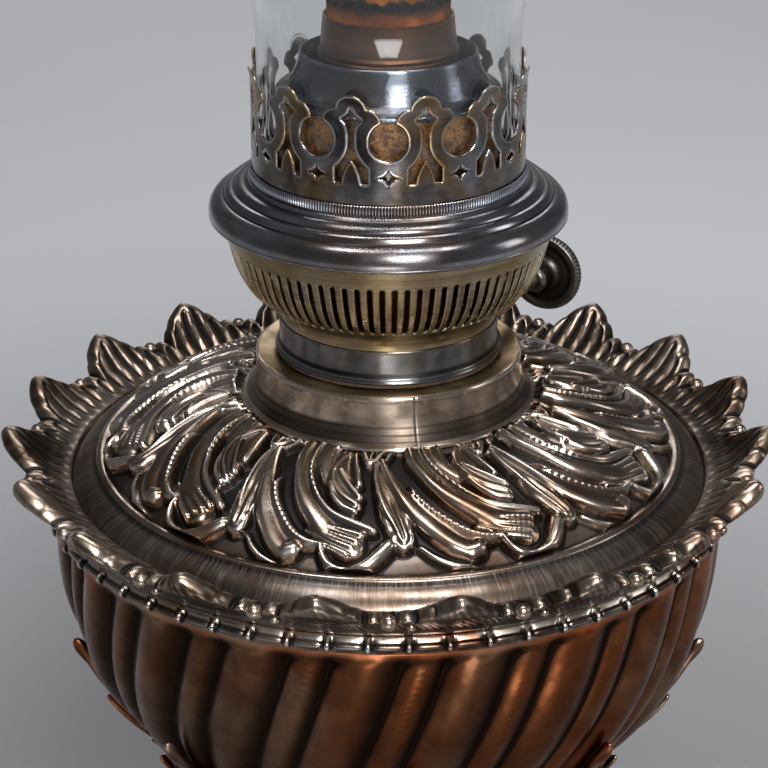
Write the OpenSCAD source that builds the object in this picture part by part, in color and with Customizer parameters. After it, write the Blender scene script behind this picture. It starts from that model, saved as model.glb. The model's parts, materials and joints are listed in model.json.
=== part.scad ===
// Oil lamp for the table: a cast foot and stem carry an open bowl, a drop-in oil font with a
// leaf crown hangs in the bowl, and a round-wick burner with a glass chimney screws onto it.
// The origin is the centre of the foot's underside, +Z is up, and the front is at -Y.
// Directions round the lamp are angles from the front, positive towards +X.

/* [Foot and stem] */
// Radius of the foot
foot_r = 76; // [68:1:88]
// Height of the foot
foot_h = 38; // [34:1:46]
// Wall of the cast foot
foot_wall = 2.4; // [1.8:0.1:3.2]
// Height of the spool on the foot
spool_h = 24; // [18:1:32]
// Height of the knop in the middle of the stem
knop_h = 34; // [26:1:44]
// Radius of the knop
knop_r = 19.5; // [16:0.5:24]
// Height of the stem's neck, under the bowl
neck_h = 23; // [18:1:32]
// Radius of the tie rod
rod_r = 3; // [2.5:0.25:4]

/* [Bowl] */
// Radius of the bowl
bowl_r = 70; // [64:1:80]
// Height of the bowl, without its rim
bowl_h = 75; // [68:1:84]
// Wall of the bowl
bowl_wall = 1.5; // [1.2:0.1:2]
// Height of the calyx on the bowl
calyx_h = 44; // [34:1:52]
// Leaves of the calyx
calyx_leaves = 9; // [6:1:12]
// Height of the bowl's rim
rim_h = 3.6; // [3:0.2:5]
// Beads on the bowl's rim
rim_beads = 60; // [48:2:72]

/* [Font] */
// Height of the font's dome, from the bowl's rim to the collar
dome_h = 17.6; // [15:0.2:24]
// Sheet of the font
font_sheet = 0.8; // [0.6:0.1:1.2]
// Reach of the crown's leaf tips beyond the bowl's radius
crown_reach = 11.4; // [8:0.2:14]
// Height of the crown's leaf tips over the bowl's rim
crown_h = 13; // [10:0.5:16]
// Leaves in the crown
crown_leaves = 19; // [16:1:24]
// Height of the font's collar
collar_h = 10.5; // [9:0.5:14]

/* [Burner] */
// Rise of the burner in one turn
thread_pitch = 2; // [1.5:0.25:2.5]
// Height of the burner's base ring
base_h = 6.9; // [6.4:0.1:8]
// Height of the slotted air basket
basket_h = 21; // [18:0.5:26]
// Slots of the air basket
basket_slots = 84; // [72:2:96]
// Width of one slot
slot_w = 1; // [0.8:0.1:1.2]
// Height of the gallery over its knurled ring
gallery_h = 21.4; // [18:0.2:26]
// Arches of the gallery
gallery_arches = 12; // [10:1:14]
// Height of the deflector over the gallery's foot
deflector_h = 23.6; // [20:0.2:27]
// Height of the wick tube's rim over the gallery's foot
tube_rise = 30.8; // [28:0.2:34]
// Outer radius of the wick, which sets the burner's size
wick_r = 12.1; // [10:0.1:15]
// Thickness of the wick
wick_t = 2.1; // [1.6:0.1:2.4]
// Height of the wick over the tube's rim
wick_show = 5; // [2:0.5:6]

/* [Winder] */
// Direction of the winder's shaft, from the front towards +X
winder_dir = 151; // [140:1:160]
// Radius of the winder's shaft
shaft_r = 1.25; // [1:0.05:1.4]
// Radius of the spiked wheels
spike_r = 3.6; // [3.2:0.1:3.8]
// Reach of the winder's knob beyond the burner's base ring
knob_out = 26; // [22:0.5:32]
// Radius of the winder's knob
knob_r = 8.5; // [7:0.25:9]

/* [Chimney] */
// Wall of the chimney
glass_wall = 1.6; // [1.2:0.1:2]
// Height of the chimney
chimney_h = 256; // [220:1:290]
// How far the chimney's bulge stands out from its foot
bulge = 9; // [4:0.5:14]
// Radius of the chimney's neck
chimney_neck_r = 19; // [17:0.5:22]

/* [Hidden] */
$fn = 96;

// Gap between flat pieces that rest on each other but move apart
rest_gap = 0.3;
// Radial gap between pieces that are soldered or pushed together
seat_gap = 0.1;
// Radial gap of a shaft or thread that turns in its bore
run_gap = 0.05;
// Radial gap of a piece that is pressed onto a shaft
press_gap = 0.02;
// Length of a cut that runs past the faces on both its sides
past = 1;

// Radii of the burner, from the wick outwards
tube_wall = 0.4;
wick_gap = 1;
tube_r = wick_r + wick_gap + tube_wall;
// Room between the wick tube and the thread, where the winder's wheels turn
winder_room = 6.85;
thread_r = tube_r + winder_room;
base_lip = 2.15;
base_r = thread_r + base_lip;
collar_shoulder = 4.9;
collar_r = base_r + collar_shoulder;
// Gap between the wick and the deflector's edge, where the air meets the flame
flame_gap = 5.4;
deflector_r = wick_r + flame_gap;
deflector_flare = 4.1;
deflector_foot_r = deflector_r + deflector_flare;
ledge_w = 1;
ledge_gap = 1.8;
glass_r = deflector_foot_r + ledge_w + ledge_gap + glass_wall;
// Play of the chimney in the gallery's spring crown
glass_play = 0.85;
gallery_wall = 0.45;
gallery_r = glass_r + glass_play + gallery_wall;
basket_flare = 6.1;
basket_r = gallery_r + basket_flare;
dish_lip = 2.8;
dish_r = basket_r + dish_lip;
bulge_r = glass_r + bulge;

// Heights of the stack, from the table up
spool_z = foot_h;
knop_z = spool_z + spool_h;
neck_z = knop_z + knop_h;
hub_z = neck_z + neck_h;
hub_t = 5;
bowl_z = hub_z + hub_t;
rim_z = bowl_z + bowl_h;
crown_z = rim_z + rim_h + rest_gap;
collar_z = crown_z + dome_h;
gasket_t = 0.6;
gasket_z = collar_z + collar_h;
base_z = gasket_z + gasket_t;
basket_z = base_z + base_h;
dish_z = basket_z + basket_h + rest_gap;
dish_h = 8.4;
knurl_z = dish_z + dish_h;
knurl_h = 2.3;
gallery_z = knurl_z + knurl_h;
seat_t = 0.6;
seat_z = knurl_z + seat_t;
tube_top = gallery_z + tube_rise;

// The bowl's outline is one full curve, cut off low down where the stem takes over
bowl_cut = 0.87;
bowl_belly = 2.93;
bowl_round = 1.25;
bowl_steps = 16;
bowl_floor_t = 3;
function bowl_curve(s) = bowl_r * pow(1 - pow(s * bowl_cut, bowl_belly), bowl_round);
// Radius of the bowl's outside at a height z
function bowl_out(z) = bowl_curve((rim_z - z) / bowl_h);
// Outline points of the bowl, moved in by a distance, between two heights
function bowl_line(inset, z0, z1) = [
    for (i = [0:bowl_steps])
        let (z = z0 + (z1 - z0) * i / bowl_steps) [bowl_out(z) - inset, z]
];
function reversed(list) = [for (i = [len(list) - 1:-1:0]) list[i]];
// Points of an arc with a centre, a radius and two angles
function arc(cx, cy, r, a0, a1, steps = 8) = [
    for (i = [0:steps])
        let (a = a0 + (a1 - a0) * i / steps) [cx + r * cos(a), cy + r * sin(a)]
];

// Turns what lies along +X into a direction counted from the front
module towards(direction) {
    rotate([0, 0, direction - 90]) children();
}

module lathe(points) {
    rotate_extrude() polygon(points);
}

// Plain ring between two radii
module ring(r_in, r_out, z, h) {
    translate([0, 0, z]) difference() {
        cylinder(r = r_out, h = h);
        translate([0, 0, -past]) cylinder(r = r_in, h = h + 2 * past);
    }
}

// Round rod from one height to another
module rod(r, z0, z1) {
    translate([0, 0, z0]) cylinder(r = r, h = z1 - z0);
}

// Foot: a hollow cast dome with a stepped border
foot_border_h = 7;
foot_border_w = 9;
foot_top_r = 21;
foot_top_w = 3;
foot_steps = 10;
weight_z = 1.2;
weight_gap = 0.3;
function foot_line(inset) = concat(
    [[foot_r - inset, foot_border_h - 1.5]],
    [[foot_r - foot_border_w / 3 - inset, foot_border_h]],
    [[foot_r - foot_border_w * 2 / 3 - inset, foot_border_h + 1.6 - inset]],
    [for (i = [0:foot_steps])
        let (
            s = i / foot_steps,
            dome_top_r = foot_top_r + foot_top_w,
            r = dome_top_r + (foot_r - foot_border_w - dome_top_r) * (1 - s)
        )
        [r - inset, foot_border_h + 2.6 - inset
            + (foot_h - foot_border_h - 5) * (0.55 * s * s + 0.45 * pow(sin(90 * s), 2))]],
    [[foot_top_r - inset, foot_h - inset]]
);

module foot() {
    color("rosybrown")
    difference() {
        lathe(concat([[0, 0], [foot_r, 0]], foot_line(0), [[0, foot_h]]));
        lathe(concat([[0, -past], [foot_r - foot_wall, -past]], foot_line(foot_wall),
            [[0, foot_h - foot_wall]]));
        rod(rod_r + run_gap, 0, foot_h + past);
    }
}

nut_w = 2 * rod_r + 4;
nut_h = 5;
washer_r = rod_r + 6;
washer_t = 1.2;
weight_pocket_h = 9;
weight_pocket_r = washer_r + 3;

module foot_weight() {
    color("dimgray")
    difference() {
        lathe(concat([[0, weight_z], [foot_r - foot_wall - weight_gap, weight_z]],
            [for (p = foot_line(foot_wall)) [p[0] - weight_gap, p[1] - weight_gap]],
            [[0, foot_h - foot_wall - weight_gap]]));
        rod(weight_pocket_r, 0, weight_z + weight_pocket_h);
        rod(rod_r + run_gap, 0, foot_h);
    }
}

module washer(z) {
    ring(rod_r + run_gap, washer_r, z, washer_t);
}

module nut(z) {
    difference() {
        translate([0, 0, z]) cylinder(d = nut_w / cos(30), h = nut_h, $fn = 6);
        rod(rod_r + run_gap, z - past, z + nut_h + past);
    }
}

washer_z = weight_z + weight_pocket_h - washer_t;

module tie_washer() {
    color("goldenrod") washer(washer_z);
}

module tie_nut() {
    color("goldenrod") nut(washer_z - nut_h);
}

rod_end = 1.5;

module tie_rod() {
    z0 = washer_z - nut_h - rod_end;
    z1 = bowl_z + bowl_floor_t + washer_t + nut_h + rod_end;
    color("gray") rod(rod_r, z0, z1);
}

// Stem: a spool, a knop and a neck, threaded on the tie rod
joint_r = 12;

module stem_piece(points, z, h) {
    difference() {
        lathe(concat([[0, z]], points, [[0, z + h]]));
        rod(rod_r + run_gap, z - past, z + h + past);
    }
}

module stem_spool() {
    waist_r = 9;
    color("rosybrown")
    stem_piece(concat(
        [[foot_top_r - 2, spool_z], [foot_top_r - 1, spool_z + 1.5], [foot_top_r - 3, spool_z + 3]],
        [for (i = [0:8])
            let (s = i / 8)
            [waist_r + (foot_top_r - 5 - waist_r) * pow(1 - s, 2.2) + (joint_r - 1 - waist_r) * pow(s, 3),
                spool_z + 3.8 + (spool_h - 6.3) * s]],
        [[joint_r, spool_z + spool_h - 1.8], [joint_r, spool_z + spool_h]]
    ), spool_z, spool_h);
}

module stem_knop() {
    collar = 3;
    color("rosybrown")
    stem_piece(concat(
        [[joint_r, knop_z], [joint_r, knop_z + 1.2], [joint_r - 2, knop_z + collar]],
        [for (i = [1:11])
            let (s = i / 12)
            [joint_r - 2 + (knop_r - joint_r + 2) * pow(sin(180 * pow(s, 0.72)), 0.8),
                knop_z + collar + (knop_h - 2 * collar) * s]],
        [[joint_r - 2, knop_z + knop_h - collar], [joint_r - 1, knop_z + knop_h - 1.2],
            [joint_r - 1, knop_z + knop_h]]
    ), knop_z, knop_h);
}

// The hub under the bowl is a little wider than the bowl's lowest circle
hub_lip = 0.66;
hub_r = bowl_out(bowl_z) + hub_lip;

module stem_neck() {
    waist_r = 7.5;
    color("rosybrown")
    stem_piece(concat(
        [[joint_r - 1, neck_z], [joint_r - 1, neck_z + 1.4]],
        [for (i = [0:8])
            let (s = i / 8)
            [waist_r + (joint_r - 2.5 - waist_r) * pow(1 - s, 2) + (hub_r - 5 - waist_r) * pow(s, 2.6),
                neck_z + 2.4 + (neck_h - 5.4) * s]],
        [[hub_r - 2.5, neck_z + neck_h - 2], [hub_r - 2.5, neck_z + neck_h]]
    ), neck_z, neck_h);
}

// Calyx: a cup of leaves that holds the bowl from below
calyx_t = 1.8;
calyx_gap = 0.3;
calyx_notch = 0.6;

module calyx() {
    z1 = bowl_z + calyx_h;
    notch_z = z1 - calyx_h * calyx_notch;
    color("saddlebrown")
    difference() {
        lathe(concat(
            [[0, hub_z], [hub_r - 1.5, hub_z]],
            bowl_line(-calyx_t - calyx_gap, bowl_z, z1),
            reversed(bowl_line(-calyx_gap, bowl_z, z1)),
            [[0, bowl_z]]
        ));
        rod(rod_r + run_gap, hub_z - past, bowl_z + past);
        for (i = [0:calyx_leaves - 1])
            towards((i + 0.5) * 360 / calyx_leaves)
            rotate([90, 0, 90])
            linear_extrude(height = 2 * bowl_r)
            polygon([
                for (s = [-8:8])
                    [s / 8 * bowl_out(z1) * tan(180 / calyx_leaves) * 0.98,
                        notch_z + (z1 - notch_z + past) * pow(abs(s) / 8, 1.4)]
            ]);
    }
}

// Bowl: an open cup, with the font hanging in it
module bowl() {
    color("sienna")
    difference() {
        lathe(concat([[0, bowl_z]], bowl_line(0, bowl_z, rim_z), [[0, rim_z]]));
        lathe(concat(
            [[0, bowl_z + bowl_floor_t]],
            bowl_line(bowl_wall, bowl_z + bowl_floor_t, rim_z),
            [[bowl_r - bowl_wall, rim_z + past], [0, rim_z + past]]
        ));
        rod(rod_r + run_gap, bowl_z - past, bowl_z + bowl_floor_t + past);
    }
}

module bowl_washer() {
    color("goldenrod") washer(bowl_z + bowl_floor_t);
}

module bowl_nut() {
    color("goldenrod") nut(bowl_z + bowl_floor_t + washer_t);
}

rim_bead_r = 1.5;
rim_w = 1.6;

module bowl_rim() {
    rim_r = bowl_r + rim_w;
    color("peru")
    union() {
        lathe([
            [bowl_r - bowl_wall, rim_z], [rim_r - 1, rim_z], [rim_r, rim_z + 0.5],
            [rim_r, rim_z + rim_h - 0.6], [rim_r - 0.5, rim_z + rim_h],
            [bowl_r - bowl_wall, rim_z + rim_h]
        ]);
        for (i = [0:rim_beads - 1])
            towards(i * 360 / rim_beads)
            translate([rim_r, 0, rim_z + rim_h / 2]) sphere(r = rim_bead_r, $fn = 24);
    }
}

// Font: the tank hangs by its flange, the cover carries the crown and the collar
font_edge_r = bowl_r - 3.8;
tank_clear = 3.5;
tank_z = bowl_z + 22;
tank_flange_t = 0.6;
// Height of the cover's outer edge over the crown's seat
cover_edge_h = 1.2;

module font_tank() {
    top = crown_z + cover_edge_h - font_sheet;
    inset = bowl_wall + tank_clear;
    wall_top = rim_z - 2;
    color("darkgoldenrod")
    difference() {
        lathe(concat([[0, tank_z]], bowl_line(inset, tank_z, wall_top),
            [[bowl_out(wall_top) - inset, top - tank_flange_t], [font_edge_r, top - tank_flange_t],
                [font_edge_r, top], [0, top]]));
        lathe(concat(
            [[0, tank_z + font_sheet]],
            bowl_line(inset + font_sheet, tank_z + font_sheet, wall_top),
            [[bowl_out(wall_top) - inset - font_sheet, top + past], [0, top + past]]
        ));
    }
}

collar_flange_r = collar_r + 3.4;
collar_hole_r = thread_r + 1.25;
bead_ring_r = bowl_r - 9.9;
bead_ring_w = 1.3;

// Outline of the font's cover from the collar outwards, lowered by a distance
function cover_line(drop) = concat(
    [[collar_hole_r, collar_z - drop], [collar_flange_r + 0.6, collar_z - drop]],
    [for (i = [1:8])
        let (s = i / 8)
        [collar_flange_r + 0.6 + (bead_ring_r - 2.2 - collar_flange_r) * s,
            collar_z - drop - (dome_h - 6) * (0.30 * s + 0.70 * pow(s, 2.1))]],
    drop > 0 ? [] : arc(bead_ring_r, crown_z + 5.4, bead_ring_w, 140, -20, 6),
    [[bead_ring_r + 1.6, crown_z + 3.6 - drop], [bead_ring_r + 2.4, crown_z + 2.8 - drop],
        [bead_ring_r + 3.8, crown_z + 1.5 - drop], [font_edge_r, crown_z + cover_edge_h - drop]]
);

module font_cover() {
    color("darkgray")
    lathe(concat(cover_line(0), reversed(cover_line(font_sheet))));
}

// Crown: a flared ring whose edge is cut into leaves
crown_root_r = font_edge_r + seat_gap;
crown_seat_r = bowl_r + 3.2;
crown_tip_r = bowl_r + crown_reach;
crown_valley_r = crown_tip_r - 9;
// Height over the crown's seat from which its leaves stand apart
leaf_root_h = 4.6;
leaf_steps = 12;
// Reach of one leaf from the valley to its tip, at a place from 0 to 1 across it
function leaf(s) = pow(sin(180 * s), 0.7) * (0.86 + 0.14 * pow(sin(180 * s), 6));

module leaf_crown() {
    tip_z = crown_z + crown_h;
    color("dimgray")
    intersection() {
        lathe([
            [crown_root_r, crown_z], [crown_seat_r, crown_z], [crown_seat_r + 0.6, crown_z + 2.2],
            [crown_seat_r + 4, crown_z + crown_h * 0.47], [crown_tip_r + 0.2, tip_z - 0.6],
            [crown_tip_r, tip_z], [crown_tip_r - 1.6, tip_z - 0.2],
            [crown_tip_r - 6, crown_z + crown_h * 0.6], [crown_tip_r - 11.5, crown_z + crown_h * 0.32],
            [crown_root_r, crown_z + crown_h * 0.2]
        ]);
        union() {
            rod(crown_tip_r, crown_z - past, crown_z + leaf_root_h);
            translate([0, 0, crown_z + leaf_root_h])
            linear_extrude(height = crown_h)
            polygon([
                for (i = [0:crown_leaves - 1], k = [0:leaf_steps - 1])
                    let (
                        a = (i + k / leaf_steps) * 360 / crown_leaves,
                        r = crown_valley_r + (crown_tip_r - crown_valley_r) * leaf(k / leaf_steps)
                    )
                    [r * sin(a), -r * cos(a)]
            ]);
        }
    }
}

// Collar: a turned sleeve with the thread for the burner
collar_wall = 0.8;
collar_neck_t = 0.9;

module font_collar() {
    bore = thread_r + run_gap;
    top = gasket_z;
    color("tan")
    lathe([
        [bore, collar_z - 3], [bore + collar_neck_t, collar_z - 3],
        [bore + collar_neck_t, top - collar_wall], [collar_r - collar_wall, top - collar_wall],
        [collar_r - collar_wall, collar_z + 1.2], [collar_r - 1.6, collar_z],
        [collar_flange_r - 0.5, collar_z], [collar_flange_r, collar_z + 0.7],
        [collar_flange_r - 0.2, collar_z + 1.5], [collar_r + 0.9, collar_z + 2.1],
        [collar_r, collar_z + 3], [collar_r, top - 0.5], [collar_r - 0.5, top], [bore, top]
    ]);
}

module burner_gasket() {
    color("saddlebrown") ring(thread_r + 0.4, base_r + 0.6, gasket_z, gasket_t);
}

// Winder geometry: the shaft runs past the wick tube, square to the direction of its wheels
wheel_at = 3;
wheel_t = 0.8;
wheel_gap = 0.25;
wheel_side = wheel_at - wheel_t / 2;
shaft_offset = sqrt(pow(wick_r + wheel_gap, 2) - pow(wheel_side, 2)) + spike_r;
shaft_z = base_z + 4;
bush_r = 1.9;
// Place along the shaft where it passes the base ring
ring_at = sqrt(base_r * base_r - shaft_offset * shaft_offset);

// Puts what is drawn along +X onto the winder's shaft
module along_shaft() {
    towards(winder_dir) translate([0, -shaft_offset, shaft_z]) children();
}

// Round bar on the shaft's line, between two places along it
module shaft_bar(r, s0, s1, fine = 48) {
    along_shaft() translate([s0, 0, 0]) rotate([0, 90, 0]) cylinder(r = r, h = s1 - s0, $fn = fine);
}

// Base ring of the burner, with its thread and the floor round the wick tube
thread_turns = 4;
thread_l = thread_turns * thread_pitch;
base_wall = 0.6;
neck_wall = 1.4;

module burner_base() {
    floor_z = base_z - 3;
    bore = tube_r + seat_gap;
    color("darkkhaki")
    difference() {
        lathe([
            [bore, floor_z], [thread_r - neck_wall, floor_z], [thread_r - neck_wall, base_z - thread_l],
            [thread_r, base_z - thread_l], [thread_r, base_z],
            [base_r + 0.3, base_z], [base_r + 0.9, base_z + 0.5], [base_r + 0.4, base_z + 1.1],
            [base_r + 0.8, base_z + 1.6], [base_r, base_z + 2.1], [base_r, base_z + base_h - 1.2],
            [base_r + 0.4, base_z + base_h - 0.7], [base_r + 0.2, base_z + base_h],
            [base_r - base_wall, base_z + base_h], [base_r - base_wall, base_z + 0.8],
            [thread_r - neck_wall, base_z + 0.8], [thread_r - neck_wall, floor_z + base_wall],
            [bore, floor_z + base_wall]
        ]);
        shaft_bar(bush_r + seat_gap, 4, ring_at + 10);
    }
}

// Air basket: a cove below, then a slotted belly and a plain band
basket_wall = 0.5;
slot_foot = 5.4;
slot_head = 4;

function basket_line(inset) = [
    for (p = [
        [base_r - 0.3, 0], [base_r - 0.2, 1.4], [base_r + 0.4, 3], [base_r + 1.7, 4.2],
        [base_r + 3.5, 4.9], [base_r + 6.1, 7.2], [(base_r + basket_r) / 2 + 2.9, basket_h * 0.53],
        [basket_r - 1.2, basket_h * 0.74], [basket_r - 0.4, basket_h * 0.9], [basket_r, basket_h]
    ])
        [p[0] - inset, basket_z + p[1]]
];

module air_basket() {
    slot_h = basket_h - slot_foot - slot_head;
    color("darkkhaki")
    difference() {
        lathe(concat(basket_line(0), reversed(basket_line(basket_wall))));
        for (i = [0:basket_slots - 1])
            towards((i + 0.5) * 360 / basket_slots)
            translate([base_r - 1, -slot_w / 2, basket_z + slot_foot])
            cube([basket_r, slot_w, slot_h]);
    }
}

// Wick tube: the outer wall of the flame, with windows for the wheels and for the air duct
duct_w = 8;
duct_z = basket_z + 5;
duct_h = 13;
duct_gap = 0.1;
window_w = 2 * wheel_at + 2.4;
window_deep = 8;
tube_z = base_z - 5;

module wick_tube() {
    lip_r = wick_r + 0.3 + tube_wall;
    color("lightslategray")
    difference() {
        lathe([
            [tube_r - tube_wall, tube_z], [tube_r, tube_z], [tube_r, tube_top - 8.4],
            [tube_r + 0.35, tube_top - 8], [tube_r, tube_top - 7.6], [tube_r + 0.3, tube_top - 7],
            [tube_r - 0.1, tube_top - 6.4], [lip_r, tube_top], [lip_r - tube_wall, tube_top],
            [tube_r - tube_wall, tube_top - 6]
        ]);
        towards(winder_dir)
        translate([-window_w / 2, -tube_r - 2, shaft_z - spike_r])
        cube([window_w, window_deep, 2 * spike_r]);
        towards(winder_dir)
        translate([-duct_w / 2 - duct_gap, tube_r - 4, duct_z - duct_gap])
        cube([duct_w + 2 * duct_gap, window_deep, duct_h + 2 * duct_gap]);
    }
}

// Inner tube: carries air to the middle of the flame, through a duct in its side
draught_r = wick_r - wick_t - 0.3;
draught_z = basket_z + 2;

module draught_tube() {
    h = tube_top - 1.2 - draught_z;
    reach = tube_r + 3;
    color("slategray")
    difference() {
        union() {
            rod(draught_r, draught_z, draught_z + h);
            towards(winder_dir)
            translate([-duct_w / 2, 0, duct_z]) cube([duct_w, reach, duct_h]);
        }
        rod(draught_r - tube_wall, draught_z + tube_wall, draught_z + h + past);
        towards(winder_dir)
        translate([-duct_w / 2 + tube_wall, 0, duct_z + tube_wall])
        cube([duct_w - 2 * tube_wall, reach + past, duct_h - 2 * tube_wall]);
    }
}

// Wick: a woven sleeve, open at the back below the flame where the air duct passes
wick_drop = 8;
wick_lift = 4;
// Room under the wick when it is wound down
wick_floor_gap = 16.8;

module wick() {
    z0 = tank_z + font_sheet + wick_drop + wick_floor_gap;
    top = tube_top + wick_show;
    slit_w = duct_w + 1;
    color("peru")
    difference() {
        ring(wick_r - wick_t, wick_r, z0, top - z0);
        towards(winder_dir)
        translate([-slit_w / 2, 0, z0 - past])
        cube([slit_w, 2 * wick_r, duct_z + duct_h + wick_drop + 1 - z0 + past]);
    }
}

// Cradle: two ears on the wick tube that hold the winder's shaft
ear_t = 0.8;
ear_at = 5.6;
ear_over = 2.2;

module winder_cradle() {
    ear_h = 5.2;
    ear_foot = sqrt(tube_r * tube_r - pow(ear_at - ear_t / 2, 2)) + run_gap;
    strap_r = tube_r + seat_gap + ear_t;
    strap_z = shaft_z + spike_r + rest_gap;
    color("darkkhaki")
    difference() {
        union() {
            for (s = [-ear_at, ear_at])
                towards(winder_dir)
                translate([s - ear_t / 2, -shaft_offset - ear_over, shaft_z - ear_h / 2])
                cube([ear_t, shaft_offset + ear_over - ear_foot, ear_h]);
            towards(winder_dir)
            translate([-ear_at, -strap_r, strap_z])
            cube([2 * ear_at, ear_t, ear_t]);
            for (s = [-ear_at, ear_at])
                towards(winder_dir)
                translate([s - ear_t / 2, -strap_r, shaft_z])
                cube([ear_t, ear_t, strap_z + ear_t - shaft_z]);
        }
        shaft_bar(shaft_r + run_gap, -ear_at - 2, ear_at + 2);
    }
}

bush_l = 11;
// The bush starts this far inside the base ring
bush_in = 3.6;
bush_start = ring_at - bush_in;

module winder_bush() {
    color("darkkhaki")
    difference() {
        shaft_bar(bush_r, bush_start, bush_start + bush_l);
        shaft_bar(shaft_r + run_gap, bush_start - past, bush_start + bush_l + past);
    }
}

knob_reach = ring_at + knob_out;
knob_t = 2.6;
hub_l = 5;
hub_round_r = 2.8;
// How far the shaft's end stays below the knob's outer face
shaft_short = 0.4;

module winder_shaft() {
    color("darkkhaki") shaft_bar(shaft_r, -ear_at - 1.2, knob_reach + knob_t / 2 - shaft_short);
}

spikes = 14;
spike_h = 0.7;

module spiked_wheels() {
    color("silver")
    difference() {
        for (s = [-wheel_at, wheel_at])
            along_shaft()
            translate([s - wheel_t / 2, 0, 0])
            rotate([90, 0, 90])
            linear_extrude(height = wheel_t)
            polygon([
                for (i = [0:2 * spikes - 1])
                    let (a = i * 180 / spikes, r = i % 2 == 0 ? spike_r : spike_r - spike_h)
                    [r * cos(a), r * sin(a)]
            ]);
        shaft_bar(shaft_r + press_gap, -wheel_at - 2, wheel_at + 2);
    }
}

module winder_knob() {
    edge_r = knob_r - 1.6;
    color("slategray")
    difference() {
        along_shaft()
        translate([knob_reach, 0, 0])
        rotate([0, 90, 0])
        lathe([
            [0, -knob_t / 2 - hub_l], [hub_round_r - 0.6, -knob_t / 2 - hub_l],
            [hub_round_r, -knob_t / 2 - hub_l + 0.8], [hub_round_r, -knob_t / 2 - 1],
            [hub_round_r + 1.4, -knob_t / 2 + 0.4], [edge_r - 0.8, -knob_t / 2 + 0.6],
            [edge_r, -knob_t / 2], [knob_r - 0.5, -knob_t / 2], [knob_r, -0.5],
            [knob_r, 0.5], [knob_r - 0.5, knob_t / 2], [edge_r, knob_t / 2],
            [edge_r - 0.8, knob_t / 2 - 0.6], [2.6, knob_t / 2 - 0.5], [1.4, knob_t / 2 + 0.5],
            [0, knob_t / 2 + 0.8]
        ]);
        shaft_bar(shaft_r + press_gap, 0, knob_reach + knob_t / 2 - shaft_short);
    }
}

// Dish: a turned flare that plugs into the basket and carries the gallery and the deflector
dish_sheet = 0.6;
skirt_l = 4;
skirt_taper = 1.1;
skirt_gap = 0.3;

module gallery_dish() {
    skirt_r = basket_r - basket_wall - skirt_gap;
    shoulder = gallery_r + 0.7;
    span = dish_r - shoulder;
    color("slategray")
    lathe([
        [deflector_foot_r + seat_gap, knurl_z], [deflector_foot_r + seat_gap, seat_z],
        [gallery_r + run_gap, seat_z], [gallery_r + run_gap, knurl_z], [shoulder, knurl_z],
        [shoulder + span * 0.21, knurl_z - 0.5], [shoulder + span * 0.45, knurl_z - 1.4],
        [shoulder + span * 0.66, knurl_z - 2.7], [shoulder + span * 0.72, knurl_z - 3.6],
        [shoulder + span * 0.82, knurl_z - 4.3], [shoulder + span * 0.96, knurl_z - 5.4],
        [dish_r, knurl_z - 6.5], [dish_r - 0.1, dish_z + 0.9], [dish_r - 0.8, dish_z],
        [skirt_r, dish_z], [skirt_r - skirt_taper, dish_z - skirt_l],
        [skirt_r - skirt_taper - dish_sheet, dish_z - skirt_l],
        [skirt_r - dish_sheet, dish_z + dish_sheet], [shoulder + span * 0.6, knurl_z - 4],
        [shoulder + span * 0.3, knurl_z - 2], [shoulder, knurl_z - 1]
    ]);
}

knurl_teeth = 144;

module knurled_ring() {
    r_in = gallery_r + seat_gap;
    r_out = gallery_r + 0.6;
    color("gray")
    translate([0, 0, knurl_z]) linear_extrude(height = knurl_h) difference() {
        polygon([
            for (i = [0:2 * knurl_teeth - 1])
                let (a = i * 180 / knurl_teeth, r = i % 2 == 0 ? r_out : r_out - 0.2)
                [r * cos(a), r * sin(a)]
        ]);
        circle(r = r_in, $fn = 2 * knurl_teeth);
    }
}

// Gallery: a pierced crown of spring metal, with open keyholes between round arches
// Keyhole under each gap, with the band of metal round it
key_r = 3.7;
key_z = 12.4;
band_r = 6.6;
mouth_w = 2.3;
// Arch between two keyholes, and the shoulder on each side of a keyhole's mouth
arch_r = 3;
shoulder_r = 2.62;
shoulder_z = 16.1;
shoulder_in = 3.17;
// Forked slit under each arch, with a pointed tab between its legs
fork_z = 4.1;
fork_w = 6.4;
tab_h = 4.7;
tab_w = 3.9;
slit_w = 0.9;
// Small star under each keyhole
low_star_z = 5.4;
low_star_w = 1.8;
low_star_h = 1.25;

// Star with four points and hollow sides
module star(w, h) {
    polygon([[0, h], [w * 0.32, h * 0.4], [w, 0], [w * 0.32, -h * 0.4], [0, -h],
        [-w * 0.32, -h * 0.4], [-w, 0], [-w * 0.32, h * 0.4]]);
}

// Everything that one repeat cuts away, with the keyhole in the middle
module gallery_cut(half_w) {
    shoulder_x = half_w - shoulder_in;
    difference() {
        translate([-half_w, shoulder_z]) square([2 * half_w, gallery_h]);
        for (side = [-1, 1]) {
            translate([side * half_w, gallery_h - arch_r]) circle(r = arch_r, $fn = 40);
            translate([side * shoulder_x, shoulder_z]) circle(r = shoulder_r, $fn = 40);
            translate([side * half_w - arch_r, shoulder_z - past])
            square([2 * arch_r, gallery_h - arch_r - shoulder_z + past]);
        }
    }
    translate([0, key_z]) circle(r = key_r, $fn = 40);
    translate([-mouth_w / 2, key_z]) square([mouth_w, shoulder_z - key_z + past]);
    translate([0, low_star_z]) star(low_star_w, low_star_h);
}

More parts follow.
